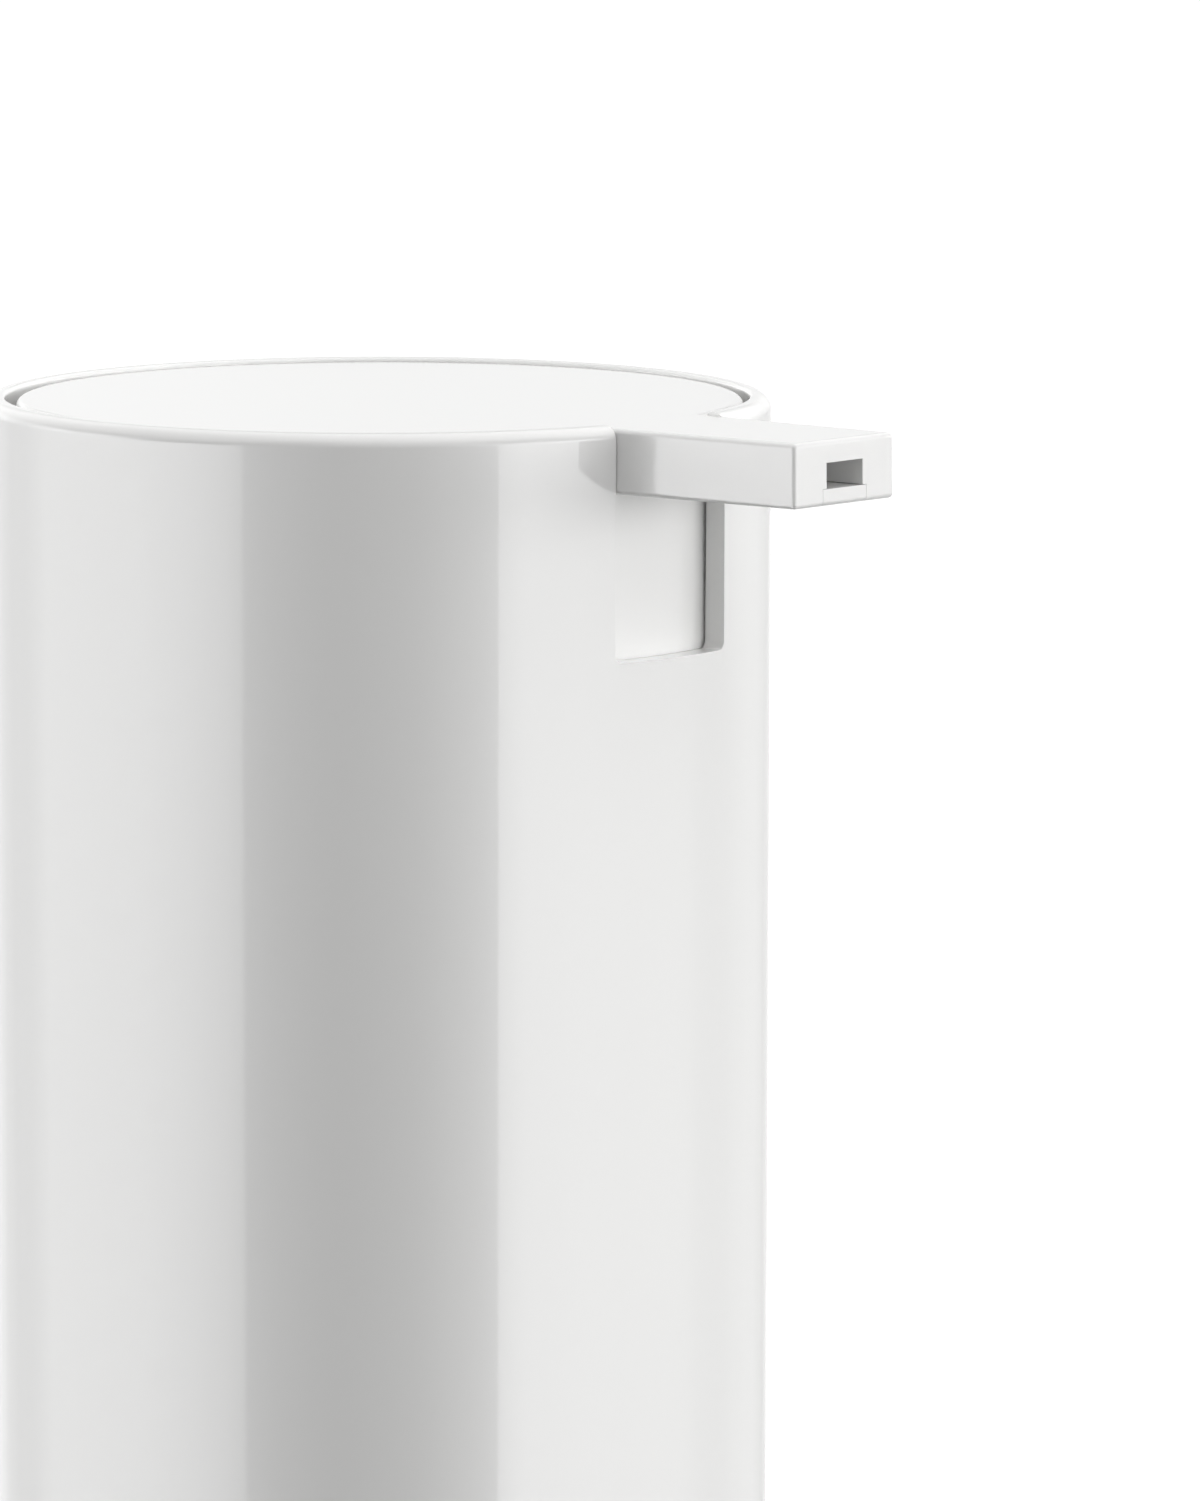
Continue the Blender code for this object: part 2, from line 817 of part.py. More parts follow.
def make_piston_rod(look):
    """The rod that hangs from the stem: its head closes the piston and takes the spring's push."""
    rod = turned(
        "piston_rod",
        [
            (0, rod_head_bottom_z - rod_tail_length),
            (rod_tail_radius, rod_head_bottom_z - rod_tail_length),
            (rod_tail_radius, rod_head_bottom_z),
            (rod_head_radius, rod_head_bottom_z),
            (rod_head_radius, rod_head_top_z),
            (rod_radius, rod_head_top_z),
            (rod_radius, stem_bottom_z + rod_in_stem),
            (0, stem_bottom_z + rod_in_stem),
        ],
        look,
        tiny_steps * 3 // 2,
    )
    port_circle = (rod_radius + rod_head_radius) / 2
    for index in range(rod_head_ports):
        angle = math.tau * index / rod_head_ports
        place = (port_circle * math.cos(angle), port_circle * math.sin(angle))
        port = cylinder_mesh(
            rod_port_radius, rod_head_bottom_z - run_in, rod_head_top_z + run_in, place, tiny_steps // 2
        )
        cut(rod, port, f"rod_port_{index + 1}")
    return rod


def make_piston_seal(look):
    """A cup seal with lips both ways, round a sleeve that slides on the rod."""
    lip_outer = barrel_bore - seat_gap
    lip_inner = lip_outer - piston_lip
    sleeve_inner = rod_radius + seat_gap
    sleeve_outer = sleeve_inner + piston_sleeve_wall
    web_low = (piston_top_z + piston_bottom_z - piston_web) / 2
    web_high = web_low + piston_web
    return turned(
        "piston_seal",
        [
            (sleeve_inner, piston_bottom_z),
            (sleeve_outer, piston_bottom_z),
            (sleeve_outer, web_low),
            (lip_inner, web_low),
            (lip_inner, piston_bottom_z),
            (lip_outer, piston_bottom_z),
            (lip_outer, piston_top_z),
            (lip_inner, piston_top_z),
            (lip_inner, web_high),
            (sleeve_outer, web_high),
            (sleeve_outer, piston_top_z),
            (sleeve_inner, piston_top_z),
        ],
        look,
        tiny_steps * 3 // 2,
    )


def make_ball(name, radius, centre_z, look):
    bm = bmesh.new()
    bmesh.ops.create_uvsphere(bm, u_segments=ball_steps, v_segments=ball_steps // 2, radius=radius)
    ball = object_from(bm, name, look)
    ball.location = (0, 0, centre_z)
    return ball


def make_inlet_ball(look):
    return make_ball("inlet_ball", inlet_ball_radius, inlet_ball_z, look)


def make_outlet_ball(look):
    return make_ball("outlet_ball", outlet_ball_radius, outlet_ball_z, look)


def make_ball_cage(look):
    """The ported disc that the spring stands on; its post limits how far the inlet ball lifts."""
    post_foot_z = inlet_ball_z + inlet_ball_radius + inlet_ball_lift + seat_gap
    cage = turned(
        "ball_cage",
        [
            (0, post_foot_z),
            (cage_post_radius, post_foot_z),
            (cage_post_radius, cage_bottom_z),
            (barrel_bore - seat_gap, cage_bottom_z),
            (barrel_bore - seat_gap, cage_top_z),
            (0, cage_top_z),
        ],
        look,
        tiny_steps * 3 // 2,
    )
    for index in range(cage_ports):
        angle = math.tau * (index + 0.5) / cage_ports
        place = (cage_port_circle * math.cos(angle), cage_port_circle * math.sin(angle))
        port = cylinder_mesh(
            cage_port_radius, cage_bottom_z - run_in, cage_top_z + run_in, place, tiny_steps // 2
        )
        cut(cage, port, f"cage_port_{index + 1}")
    return cage


def spring_path():
    """Points of the coil, with one flat curl at each end, as one unbroken line."""
    low_z = spring_bottom_z + spring_wire / 2
    high_z = spring_top_z - spring_wire / 2
    count = int(spring_curls * spring_points_per_curl)
    points = []
    for step in range(count + 1):
        turns_done = spring_curls * step / count
        if turns_done < 1:
            z = low_z + spring_end_lift * turns_done
        elif turns_done > spring_curls - 1:
            z = high_z - spring_end_lift * (spring_curls - turns_done)
        else:
            share = (turns_done - 1) / (spring_curls - 2)
            z = low_z + spring_end_lift + (high_z - low_z - 2 * spring_end_lift) * share
        angle = math.tau * turns_done
        points.append((spring_mean_radius * math.cos(angle), spring_mean_radius * math.sin(angle), z))
    return points


def least_gap_to_itself(points, wire, points_per_curl):
    """The smallest clear distance between two stretches of the coil at least half a curl apart."""
    vectors = [Vector(point) for point in points]
    nearest = min(
        (first - second).length
        for index, first in enumerate(vectors)
        for second in vectors[index + points_per_curl // 2:]
    )
    return nearest - wire


def make_return_spring(look):
    points = spring_path()
    curve = bpy.data.curves.new("return_spring", "CURVE")
    curve.dimensions = "3D"
    curve.bevel_depth = spring_wire / 2
    curve.bevel_resolution = 1
    curve.use_fill_caps = True
    spline = curve.splines.new("POLY")
    spline.points.add(len(points) - 1)
    for knot, point in zip(spline.points, points):
        knot.co = (*point, 1.0)
    spring = bpy.data.objects.new("return_spring", curve)
    curve.materials.append(look)
    bpy.context.scene.collection.objects.link(spring)
    gap = least_gap_to_itself(points, spring_wire, spring_points_per_curl)
    print(f"return_spring least gap to itself: {gap / mm:.2f} mm")
    return spring


def make_dip_tube(look):
    """The suction tube, cut aslant at its foot so that the bottle's floor can't close it."""
    low_z = bottle_bottom_z + bottle_wall + tube_above_bottom
    bore = tube_radius - tube_wall
    outline = [(bore, low_z), (tube_radius, low_z), (tube_radius, tube_top_z), (bore, tube_top_z)]
    bm = turned_mesh(outline, tiny_steps)
    for vert in bm.verts:
        if vert.co.z < low_z + run_in:
            vert.co.z += (vert.co.x + tube_radius) * tube_end_slope
    return object_from(bm, "dip_tube", look)


def main():
    clear_scene()
    white_gloss = material("white_gloss_plastic", (0.88, 0.88, 0.875), 0.08)
    white_satin = material("white_satin_plastic", (0.86, 0.86, 0.85), 0.35)
    milky = material("milky_plastic", (0.82, 0.84, 0.85), 0.3, alpha=0.55)
    seal_white = material("seal_plastic", (0.78, 0.78, 0.76), 0.5)
    grey_rubber = material("grey_rubber", (0.24, 0.24, 0.25), 0.8)
    steel = material("stainless_steel", (0.62, 0.62, 0.63), 0.2, metallic=1.0)
    make_casing(white_gloss)
    make_foot_pad(grey_rubber)
    moving = bpy.data.objects.new("button_press_axis", None)
    bpy.context.scene.collection.objects.link(moving)
    moving.location = (0, -button_forward, 0)
    for piece in (
        make_press_button(white_gloss),
        make_spout_floor(white_gloss),
        make_slot_shutter(white_gloss),
    ):
        parent_with_cutters(piece, moving)
    make_stem_socket(white_satin)
    make_bottle(milky)
    make_neck_gasket(grey_rubber)
    make_screw_collar(white_satin)
    make_pump_barrel(milky)
    make_barrel_cap(white_satin)
    make_stem_wiper(seal_white)
    make_pump_stem(white_satin)
    make_piston_rod(white_satin)
    make_piston_seal(seal_white)
    make_inlet_ball(steel)
    make_outlet_ball(steel)
    make_ball_cage(seal_white)
    make_return_spring(steel)
    make_dip_tube(milky)


main()
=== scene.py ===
import math

import bmesh
import bpy
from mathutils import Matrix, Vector


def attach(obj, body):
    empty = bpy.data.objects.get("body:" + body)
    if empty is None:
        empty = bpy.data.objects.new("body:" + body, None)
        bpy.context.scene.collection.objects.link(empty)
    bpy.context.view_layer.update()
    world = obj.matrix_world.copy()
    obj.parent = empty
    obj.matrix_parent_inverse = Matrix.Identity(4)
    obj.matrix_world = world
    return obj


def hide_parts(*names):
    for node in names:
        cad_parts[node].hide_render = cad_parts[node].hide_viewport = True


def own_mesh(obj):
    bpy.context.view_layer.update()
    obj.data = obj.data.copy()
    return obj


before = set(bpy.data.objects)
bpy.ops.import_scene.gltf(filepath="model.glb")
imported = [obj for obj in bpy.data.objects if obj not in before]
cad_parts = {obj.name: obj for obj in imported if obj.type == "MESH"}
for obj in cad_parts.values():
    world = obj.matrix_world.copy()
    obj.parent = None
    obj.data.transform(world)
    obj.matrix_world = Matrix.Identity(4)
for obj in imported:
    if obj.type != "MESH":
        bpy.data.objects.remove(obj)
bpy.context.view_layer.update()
print("stage: frame loaded")

toMetres = 0.001  # lengths below are millimetres unless noted, and a piece is scaled when it is finished
near = 0.01  # corners this close to a place count as being there
past = 5.0  # how far a cutting shape stands past what it cuts


# Materials

plastics = {
    # spread is how far the roughness changes over the surface, tint how far the colour does
    "glossWhite": {
        "color": (0.87, 0.868, 0.86),
        "roughness": 0.02,
        "spread": 0.01,
        "tint": 0.012,
        "bump": 0.002,
    },
    "satinWhite": {
        "color": (0.84, 0.84, 0.83),
        "roughness": 0.32,
        "spread": 0.08,
        "tint": 0.03,
        "bump": 0.03,
    },
    "milkyWhite": {
        "color": (0.89, 0.9, 0.895),
        "roughness": 0.38,
        "spread": 0.1,
        "tint": 0.05,
        "bump": 0.04,
        "transmission": 0.35,
        "refraction": 1.49,
    },
    "sealWhite": {
        "color": (0.72, 0.71, 0.67),
        "roughness": 0.5,
        "spread": 0.12,
        "tint": 0.05,
        "bump": 0.05,
    },
    "greyRubber": {
        "color": (0.075, 0.076, 0.08),
        "roughness": 0.78,
        "spread": 0.12,
        "tint": 0.3,
        "bump": 0.35,
    },
}
moulding = {
    # scale and detail of each pattern
    "flow": (28.0, 3.0),
    "skin": (1400.0, 2.0),
    "handling": (90.0, 5.0),
    "skinHeight": 0.00002,  # metres
}
steel = {
    "color": (0.6, 0.6, 0.61),
    "leastRoughness": 0.14,
    "mostRoughness": 0.34,
    "streaks": (900.0, 4.0),
    "stretch": 9.0,
}
# nodes that keep their solid's shape, and the finish of each
carriedOver = {
    "neck_gasket": "greyRubber",
    "stem_wiper": "sealWhite",
    "piston_rod": "satinWhite",
    "piston_seal": "sealWhite",
    "ball_cage": "sealWhite",
    "inlet_ball": "steel",
    "outlet_ball": "steel",
    "dip_tube": "milkyWhite",
}


def newNode(tree, kind, **values):
    node = tree.nodes.new(kind)
    for name, value in values.items():
        setattr(node, name, value)
    return node


def newMaterial(name):
    material = bpy.data.materials.new(name)
    material.use_nodes = True
    tree = material.node_tree
    return material, tree, tree.nodes["Principled BSDF"]


def noise(tree, pattern):
    texture = newNode(tree, "ShaderNodeTexNoise")
    texture.inputs["Scale"].default_value, texture.inputs["Detail"].default_value = pattern
    return texture


def mouldedSurface():
    # faint flow marks, finish changes and skin of moulded plastic, shared by all the plastics
    group = bpy.data.node_groups.new("mouldedSurface", "ShaderNodeTree")
    link = group.links.new
    for way, kind, names in (
        ("INPUT", "Color", ("Color",)),
        ("INPUT", "Float", ("Tint", "Roughness", "Spread", "Bump")),
        ("OUTPUT", "Color", ("Color",)),
        ("OUTPUT", "Float", ("Roughness",)),
        ("OUTPUT", "Vector", ("Normal",)),
    ):
        for name in names:
            group.interface.new_socket(name, in_out=way, socket_type=f"NodeSocket{kind}")
    given = newNode(group, "NodeGroupInput")
    result = newNode(group, "NodeGroupOutput")
    place = newNode(group, "ShaderNodeTexCoord")
    flow, skin, handling = (noise(group, moulding[name]) for name in ("flow", "skin", "handling"))
    for pattern in (flow, skin, handling):
        link(place.outputs["Object"], pattern.inputs["Vector"])
    # the colour is scaled by 1 plus the tint times the flow pattern, which is centred on 0 first
    centred = newNode(group, "ShaderNodeMath", operation="SUBTRACT")
    centred.inputs[1].default_value = 0.5
    link(flow.outputs["Fac"], centred.inputs[0])
    amount = newNode(group, "ShaderNodeMath", operation="MULTIPLY_ADD")
    amount.inputs[2].default_value = 1.0
    link(centred.outputs[0], amount.inputs[0])
    link(given.outputs["Tint"], amount.inputs[1])
    shade = newNode(group, "ShaderNodeVectorMath", operation="SCALE")
    link(given.outputs["Color"], shade.inputs[0])
    link(amount.outputs[0], shade.inputs["Scale"])
    link(shade.outputs[0], result.inputs["Color"])
    rougher = newNode(group, "ShaderNodeMath", operation="MULTIPLY_ADD")
    link(handling.outputs["Fac"], rougher.inputs[0])
    link(given.outputs["Spread"], rougher.inputs[1])
    link(given.outputs["Roughness"], rougher.inputs[2])
    link(rougher.outputs[0], result.inputs["Roughness"])
    bump = newNode(group, "ShaderNodeBump")
    bump.inputs["Distance"].default_value = moulding["skinHeight"]
    link(given.outputs["Bump"], bump.inputs["Strength"])
    link(skin.outputs["Fac"], bump.inputs["Height"])
    link(bump.outputs["Normal"], result.inputs["Normal"])
    return group


def plasticMaterial(name, surface, values):
    material, tree, shader = newMaterial(name)
    skin = newNode(tree, "ShaderNodeGroup", node_tree=surface)
    skin.inputs["Color"].default_value = (*values["color"], 1.0)
    skin.inputs["Tint"].default_value = values["tint"]
    skin.inputs["Roughness"].default_value = values["roughness"] - values["spread"] / 2
    skin.inputs["Spread"].default_value = values["spread"]
    skin.inputs["Bump"].default_value = values["bump"]
    tree.links.new(skin.outputs["Color"], shader.inputs["Base Color"])
    tree.links.new(skin.outputs["Roughness"], shader.inputs["Roughness"])
    tree.links.new(skin.outputs["Normal"], shader.inputs["Normal"])
    if "transmission" in values:
        shader.inputs["Transmission Weight"].default_value = values["transmission"]
        shader.inputs["IOR"].default_value = values["refraction"]
    return material


def steelMaterial():
    # drawn wire and polished balls: fine streaks round the axis
    material, tree, shader = newMaterial("stainlessSteel")
    shader.inputs["Metallic"].default_value = 1.0
    shader.inputs["Base Color"].default_value = (*steel["color"], 1.0)
    place = newNode(tree, "ShaderNodeTexCoord")
    stretch = newNode(tree, "ShaderNodeMapping")
    stretch.inputs["Scale"].default_value = (1.0, 1.0, steel["stretch"])
    streaks = noise(tree, steel["streaks"])
    level = newNode(tree, "ShaderNodeMapRange")
    level.inputs["To Min"].default_value = steel["leastRoughness"]
    level.inputs["To Max"].default_value = steel["mostRoughness"]
    tree.links.new(place.outputs["Object"], stretch.inputs["Vector"])
    tree.links.new(stretch.outputs["Vector"], streaks.inputs["Vector"])
    tree.links.new(streaks.outputs["Fac"], level.inputs["Value"])
    tree.links.new(level.outputs["Result"], shader.inputs["Roughness"])
    return material


surface = mouldedSurface()
finish = {name: plasticMaterial(name, surface, values) for name, values in plastics.items()}
finish["steel"] = steelMaterial()
for node, look in carriedOver.items():
    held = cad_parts[node].data.materials
    held.clear()
    held.append(finish[look])
print("stage: materials made")


# Shared modelling steps

finishing = {
    # corners closer than this become one, the first two in millimetres and the last in metres
    "turnedMerge": 1e-4,
    "ridgeMerge": 1e-5,
    "pieceMerge": 1e-7,
    "sharpAngle": 32.0,
    "flatWeight": 90,
}
thread = {
    "pitch": 4.2,
    "turns": 1.3333,
    "start": 109.8,
    "root": 1.7,
    "tip": 0.9,
    "sunk": 0.4,
    "stepsPerTurn": 64,
    # a ridge rises from this share of its height to the whole of it over this part of a turn
    "firstShare": 0.25,
    "fade": 0.12,
}


def turn(points, steps):
    # a closed outline of (radius, height) points, turned once about Z
    shape = bmesh.new()
    corners = [shape.verts.new((radius, 0.0, height)) for radius, height in points]
    edges = [shape.edges.new((corners[i - 1], corners[i])) for i in range(len(corners))]
    bmesh.ops.spin(
        shape,
        geom=corners + edges,
        cent=(0, 0, 0),
        axis=(0, 0, 1),
        angle=math.tau,
        steps=steps,
        use_merge=True,
    )
    bmesh.ops.remove_doubles(shape, verts=shape.verts[:], dist=finishing["turnedMerge"])
    bmesh.ops.recalc_face_normals(shape, faces=shape.faces[:])
    return shape


def roundEdges(shape, chosen, width, segments):
    edges = [edge for edge in shape.edges if chosen(edge)]
    bmesh.ops.bevel(
        shape,
        geom=edges,
        offset=width,
        segments=segments,
        profile=0.5,
        affect="EDGES",
        material=-1,
        clamp_overlap=True,
    )


def roundRings(shape, *rings):
    # rounds the ring edges that turned corners left, each given by radius, height, width and segments
    for radius, height, width, segments in rings:
        def onRing(edge):
            return all(
                abs(vert.co.z - height) < near and abs(vert.co.xy.length - radius) < near
                for vert in edge.verts
            )

        roundEdges(shape, onRing, width, segments)


def block(low, high):
    shape = bmesh.new()
    bmesh.ops.create_cube(shape, size=1.0)
    size = Vector(high) - Vector(low)
    bmesh.ops.scale(shape, verts=shape.verts[:], vec=size)
    bmesh.ops.translate(shape, verts=shape.verts[:], vec=(Vector(high) + Vector(low)) / 2)
    return shape


def rod(radius, low, high, x, y, steps=48):
    shape = bmesh.new()
    bmesh.ops.create_cone(
        shape, cap_ends=True, segments=steps, radius1=radius, radius2=radius, depth=high - low
    )
    bmesh.ops.translate(shape, verts=shape.verts[:], vec=(x, y, (high + low) / 2))
    return shape


def ridge(base, crest, start):
    # a thread: one trapezoid spun up a right-handed helix, whose ends sink into the wall
    t = thread
    root, tip = t["root"] / 2, t["tip"] / 2
    shape = bmesh.new()
    section = [
        shape.verts.new((radius, 0.0, start + rise))
        for radius, rise in ((base, -root), (crest, -tip), (crest, tip), (base, root))
    ]
    face = shape.faces.new(section)
    steps = round(t["turns"] * t["stepsPerTurn"])
    climb = (0.0, 0.0, t["pitch"] * t["turns"] / steps)
    bmesh.ops.spin(
        shape,
        geom=[face],
        cent=(0, 0, 0),
        axis=(0, 0, 1),
        dvec=climb,
        angle=math.tau * t["turns"],
        steps=steps,
    )
    inner = [f for f in shape.faces if len(f.verts) == 4 and all(len(e.link_faces) > 2 for e in f.edges)]
    bmesh.ops.delete(shape, geom=inner, context="FACES")
    bmesh.ops.remove_doubles(shape, verts=shape.verts[:], dist=finishing["ridgeMerge"])
    bmesh.ops.recalc_face_normals(shape, faces=shape.faces[:])
    for vert in shape.verts:
        reach = vert.co.xy.length
        if abs(reach - crest) < near:
            angle = math.atan2(vert.co.y, vert.co.x) / math.tau
            along = angle + round((vert.co.z - start) / t["pitch"] - angle)
            share = min(1.0, t["firstShare"] + min(along, t["turns"] - along) / t["fade"])
            vert.co.xy *= (base + (crest - base) * share) / reach
    return shape


def toObject(shape, name):
    mesh = bpy.data.meshes.new(name)
    shape.to_mesh(mesh)
    shape.free()
    made = bpy.data.objects.new(name, mesh)
    bpy.context.scene.collection.objects.link(made)
    return made


def combined(shape, others, operation):
    # joins or cuts shapes at once, so that nothing but the finished piece is left in the scene
    target = toObject(shape, "working")
    tools = [toObject(other, "tool") for other in others]
    for tool in tools:
        step = target.modifiers.new("step", "BOOLEAN")
        step.operation = operation
        step.solver = "EXACT"
        step.object = tool
    graph = bpy.context.evaluated_depsgraph_get()
    result = bmesh.new()
    result.from_object(target, graph)
    for used in [target] + tools:
        mesh = used.data
        bpy.data.objects.remove(used)
        bpy.data.meshes.remove(mesh)
    return result


def finishPiece(shape, name, look, body, node):
    bmesh.ops.scale(shape, verts=shape.verts[:], vec=(toMetres,) * 3)
    bmesh.ops.remove_doubles(shape, verts=shape.verts[:], dist=finishing["pieceMerge"])
    bmesh.ops.dissolve_degenerate(shape, edges=shape.edges[:], dist=finishing["pieceMerge"])
    made = toObject(shape, name)
    made.data.materials.append(finish[look])
    made.data.shade_smooth()
    made.data.set_sharp_from_angle(angle=math.radians(finishing["sharpAngle"]))
    level = made.modifiers.new("flat faces stay flat", "WEIGHTED_NORMAL")
    level.keep_sharp = True
    level.weight = finishing["flatWeight"]
    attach(made, body)
    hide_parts(node)
    return made


# Casing: a cup with a slot down its front

casing = {
    "height": 150.0,
    "radius": 36.0,
    "outerDraft": 0.19,
    "wall": 2.05,
    "innerDraft": 0.6,
    "underside": 0.72,
    "recessTop": 1.9,
    "recessRadius": 30.0,
    "floorTop": 4.4,
    "rimFillet": 1.25,
    "rimInnerFillet": 0.4,
    "footFillet": 0.8,
    "floorFillet": 3.0,
    "steps": 192,
    "slotFront": -40.0,
    "slotBack": -28.0,
    "slotHalf": 7.5,
    "slotSill": 128.6,
    "slotCorner": 0.8,
    "slotFillet": 0.42,
    # the slot's edge is rounded where it is at least this sharp, and not where it runs through the wall
    "slotEdgeAngle": 40.0,
    "throughWall": 1.2,
}


def casingOuter(height):
    return casing["radius"] - (casing["height"] - height) * math.tan(math.radians(casing["outerDraft"]))


def casingInner(height):
    draft = math.tan(math.radians(casing["innerDraft"]))
    return casing["radius"] - casing["wall"] - (casing["height"] - height) * draft


def makeCasing():
    c = casing
    top, foot, floor = c["height"], c["underside"], c["floorTop"]
    shape = turn(
        [
            (0.0, floor),
            (casingInner(floor), floor),
            (casingInner(top), top),
            (c["radius"], top),
            (casingOuter(foot), foot),
            (c["recessRadius"], foot),
            (c["recessRadius"], c["recessTop"]),
            (0.0, c["recessTop"]),
        ],
        c["steps"],
    )
    roundRings(
        shape,
        (c["radius"], top, c["rimFillet"], 6),
        (casingInner(top), top, c["rimInnerFillet"], 4),
        (casingOuter(foot), foot, c["footFillet"], 5),
        (casingInner(floor), floor, c["floorFillet"], 6),
    )

    def atSill(edge):
        low = all(vert.co.z < c["slotSill"] + near for vert in edge.verts)
        return low and abs(edge.verts[0].co.x - edge.verts[1].co.x) < near

    slot = block((-c["slotHalf"], c["slotFront"], c["slotSill"]), (c["slotHalf"], c["slotBack"], top + past))
    roundEdges(slot, atSill, c["slotCorner"], 6)
    shape = combined(shape, [slot], "DIFFERENCE")

    def onSlotRim(edge):
        # the slot's outer outline, up over the rim's top
        first, second = edge.verts[0].co, edge.verts[1].co
        middle = (first + second) / 2
        cornerTop = c["slotSill"] + c["slotCorner"]
        beside = abs(abs(middle.x) - c["slotHalf"]) < near and middle.z > cornerTop - near
        below = abs(middle.x) < c["slotHalf"] + near and c["slotSill"] - near < middle.z < cornerTop + near
        outside = middle.xy.length > casingOuter(middle.z) - c["rimFillet"] - 2 * near and middle.y < 0.0
        across = abs(first.xy.length - second.xy.length) > c["throughWall"]
        sharp = len(edge.link_faces) == 2 and edge.calc_face_angle(0.0) > math.radians(c["slotEdgeAngle"])
        return (beside or below) and outside and sharp and not across

    roundEdges(shape, onSlotRim, c["slotFillet"], 4)
    finishPiece(shape, "casingShell", "glossWhite", "housing", "casing")


# Foot pad

footPad = {
    "radius": 29.7,
    "thickness": 1.6,
    "edge": 0.3,
    "grooves": (9.0, 18.0, 25.5),
    "grooveWidth": 0.7,
    "grooveDepth": 0.35,
    "steps": 128,
}


def makeFootPad():
    p = footPad
    outline = [(0.0, 0.0)]
    for middle in p["grooves"]:
        for side, height in ((-0.5, 0.0), (-0.5, 1.0), (0.5, 1.0), (0.5, 0.0)):
            outline.append((middle + side * p["grooveWidth"], height * p["grooveDepth"]))
    outline += [(p["radius"], 0.0), (p["radius"], p["thickness"]), (0.0, p["thickness"])]
    shape = turn(outline, p["steps"])
    roundRings(shape, (p["radius"], 0.0, p["edge"], 3), (p["radius"], p["thickness"], p["edge"], 3))
    finishPiece(shape, "footPadDisc", "greyRubber", "housing", "foot_pad")


makeCasing()
makeFootPad()
print("stage: casing and foot pad made")


# Press button with its spout, the strip under it and the shutter behind the slot

button = {
    "forward": 0.3,
    "radius": 33.2,
    "top": 149.7,
    "thickness": 2.0,
    "lipWall": 1.6,
    "edgeFillet": 0.65,
    "ringInner": 10.2,
    "ringOuter": 12.0,
    "ringSunk": 1.0,
    "ringSteps": 96,
    "steps": 192,
}
spout = {
    "reach": 55.1,
    "innerReach": 11.0,
    "height": 5.86,
    "rootAt": 36.0,
    "rootHalf": 7.34,
    "tipHalf": 6.85,
    "draft": 0.6,
    "fillet": 0.45,
    "channelHalf": 2.5,
    "channelTop": 2.0,
    "channelFloor": 4.35,
    "channelSunk": 1.0,
    "stripHalf": 2.98,
    "stripGap": 0.3,
    "seam": 0.05,
    # both cuts start in front of the tip and end inside the ring
    "cutFrom": -60.0,
    "cutPastRing": 2.0,
    "cutBelow": 2.0,
    "pegRadius": 1.0,
    "pegSpread": 5.2,
    "pegReach": 23.52,
    "pegLength": 2.0,
}
shutter = {
    "outerRadius": 33.2,
    "wall": 1.6,
    "half": 8.6,
    "belowSill": 1.2,
    "belowSpout": 0.3,
    "fillet": 0.2,
    "tabLength": 14.0,
    "tabThickness": 1.8,
    "holeGap": 0.3,
    # an edge is upright when its ends are this far apart in height
    "uprightLength": 1.0,
    "steps": 256,
    # of the turned ring, what lies between these is kept
    "front": -40.0,
    "back": -5.0,
}
spoutUnderside = button["top"] - spout["height"]
spoutFlare = spout["height"] * math.tan(math.radians(spout["draft"]))
moveForward = (0.0, -button["forward"], 0.0)


def spoutHalf(reach):
    share = (reach - spout["rootAt"]) / (spout["reach"] - spout["rootAt"])
    return spout["rootHalf"] + (spout["tipHalf"] - spout["rootHalf"]) * share


def spoutBar():
    # the top outline pulled down to the underside, which flares by the draft
    s = spout
    shape = bmesh.new()
    outline = []
    for side, reach in ((-1, s["innerReach"]), (-1, s["reach"]), (1, s["reach"]), (1, s["innerReach"])):
        outline.append(shape.verts.new((side * spoutHalf(reach), -reach, button["top"])))
    face = shape.faces.new(outline)
    grown = bmesh.ops.extrude_face_region(shape, geom=[face])["geom"]
    for vert in grown:
        if isinstance(vert, bmesh.types.BMVert):
            vert.co.z = spoutUnderside
            vert.co.x += math.copysign(spoutFlare, vert.co.x)
            if vert.co.y < -s["reach"] + near:
                vert.co.y -= spoutFlare
    bmesh.ops.recalc_face_normals(shape, faces=shape.faces[:])

    def notInside(edge):
        return not all(abs(vert.co.y + s["innerReach"]) < near for vert in edge.verts)

    roundEdges(shape, notInside, s["fillet"], 5)
    return shape


def pegRods(radius, low, high):
    return [rod(radius, low, high, side * spout["pegSpread"], -spout["pegReach"]) for side in (-1, 1)]


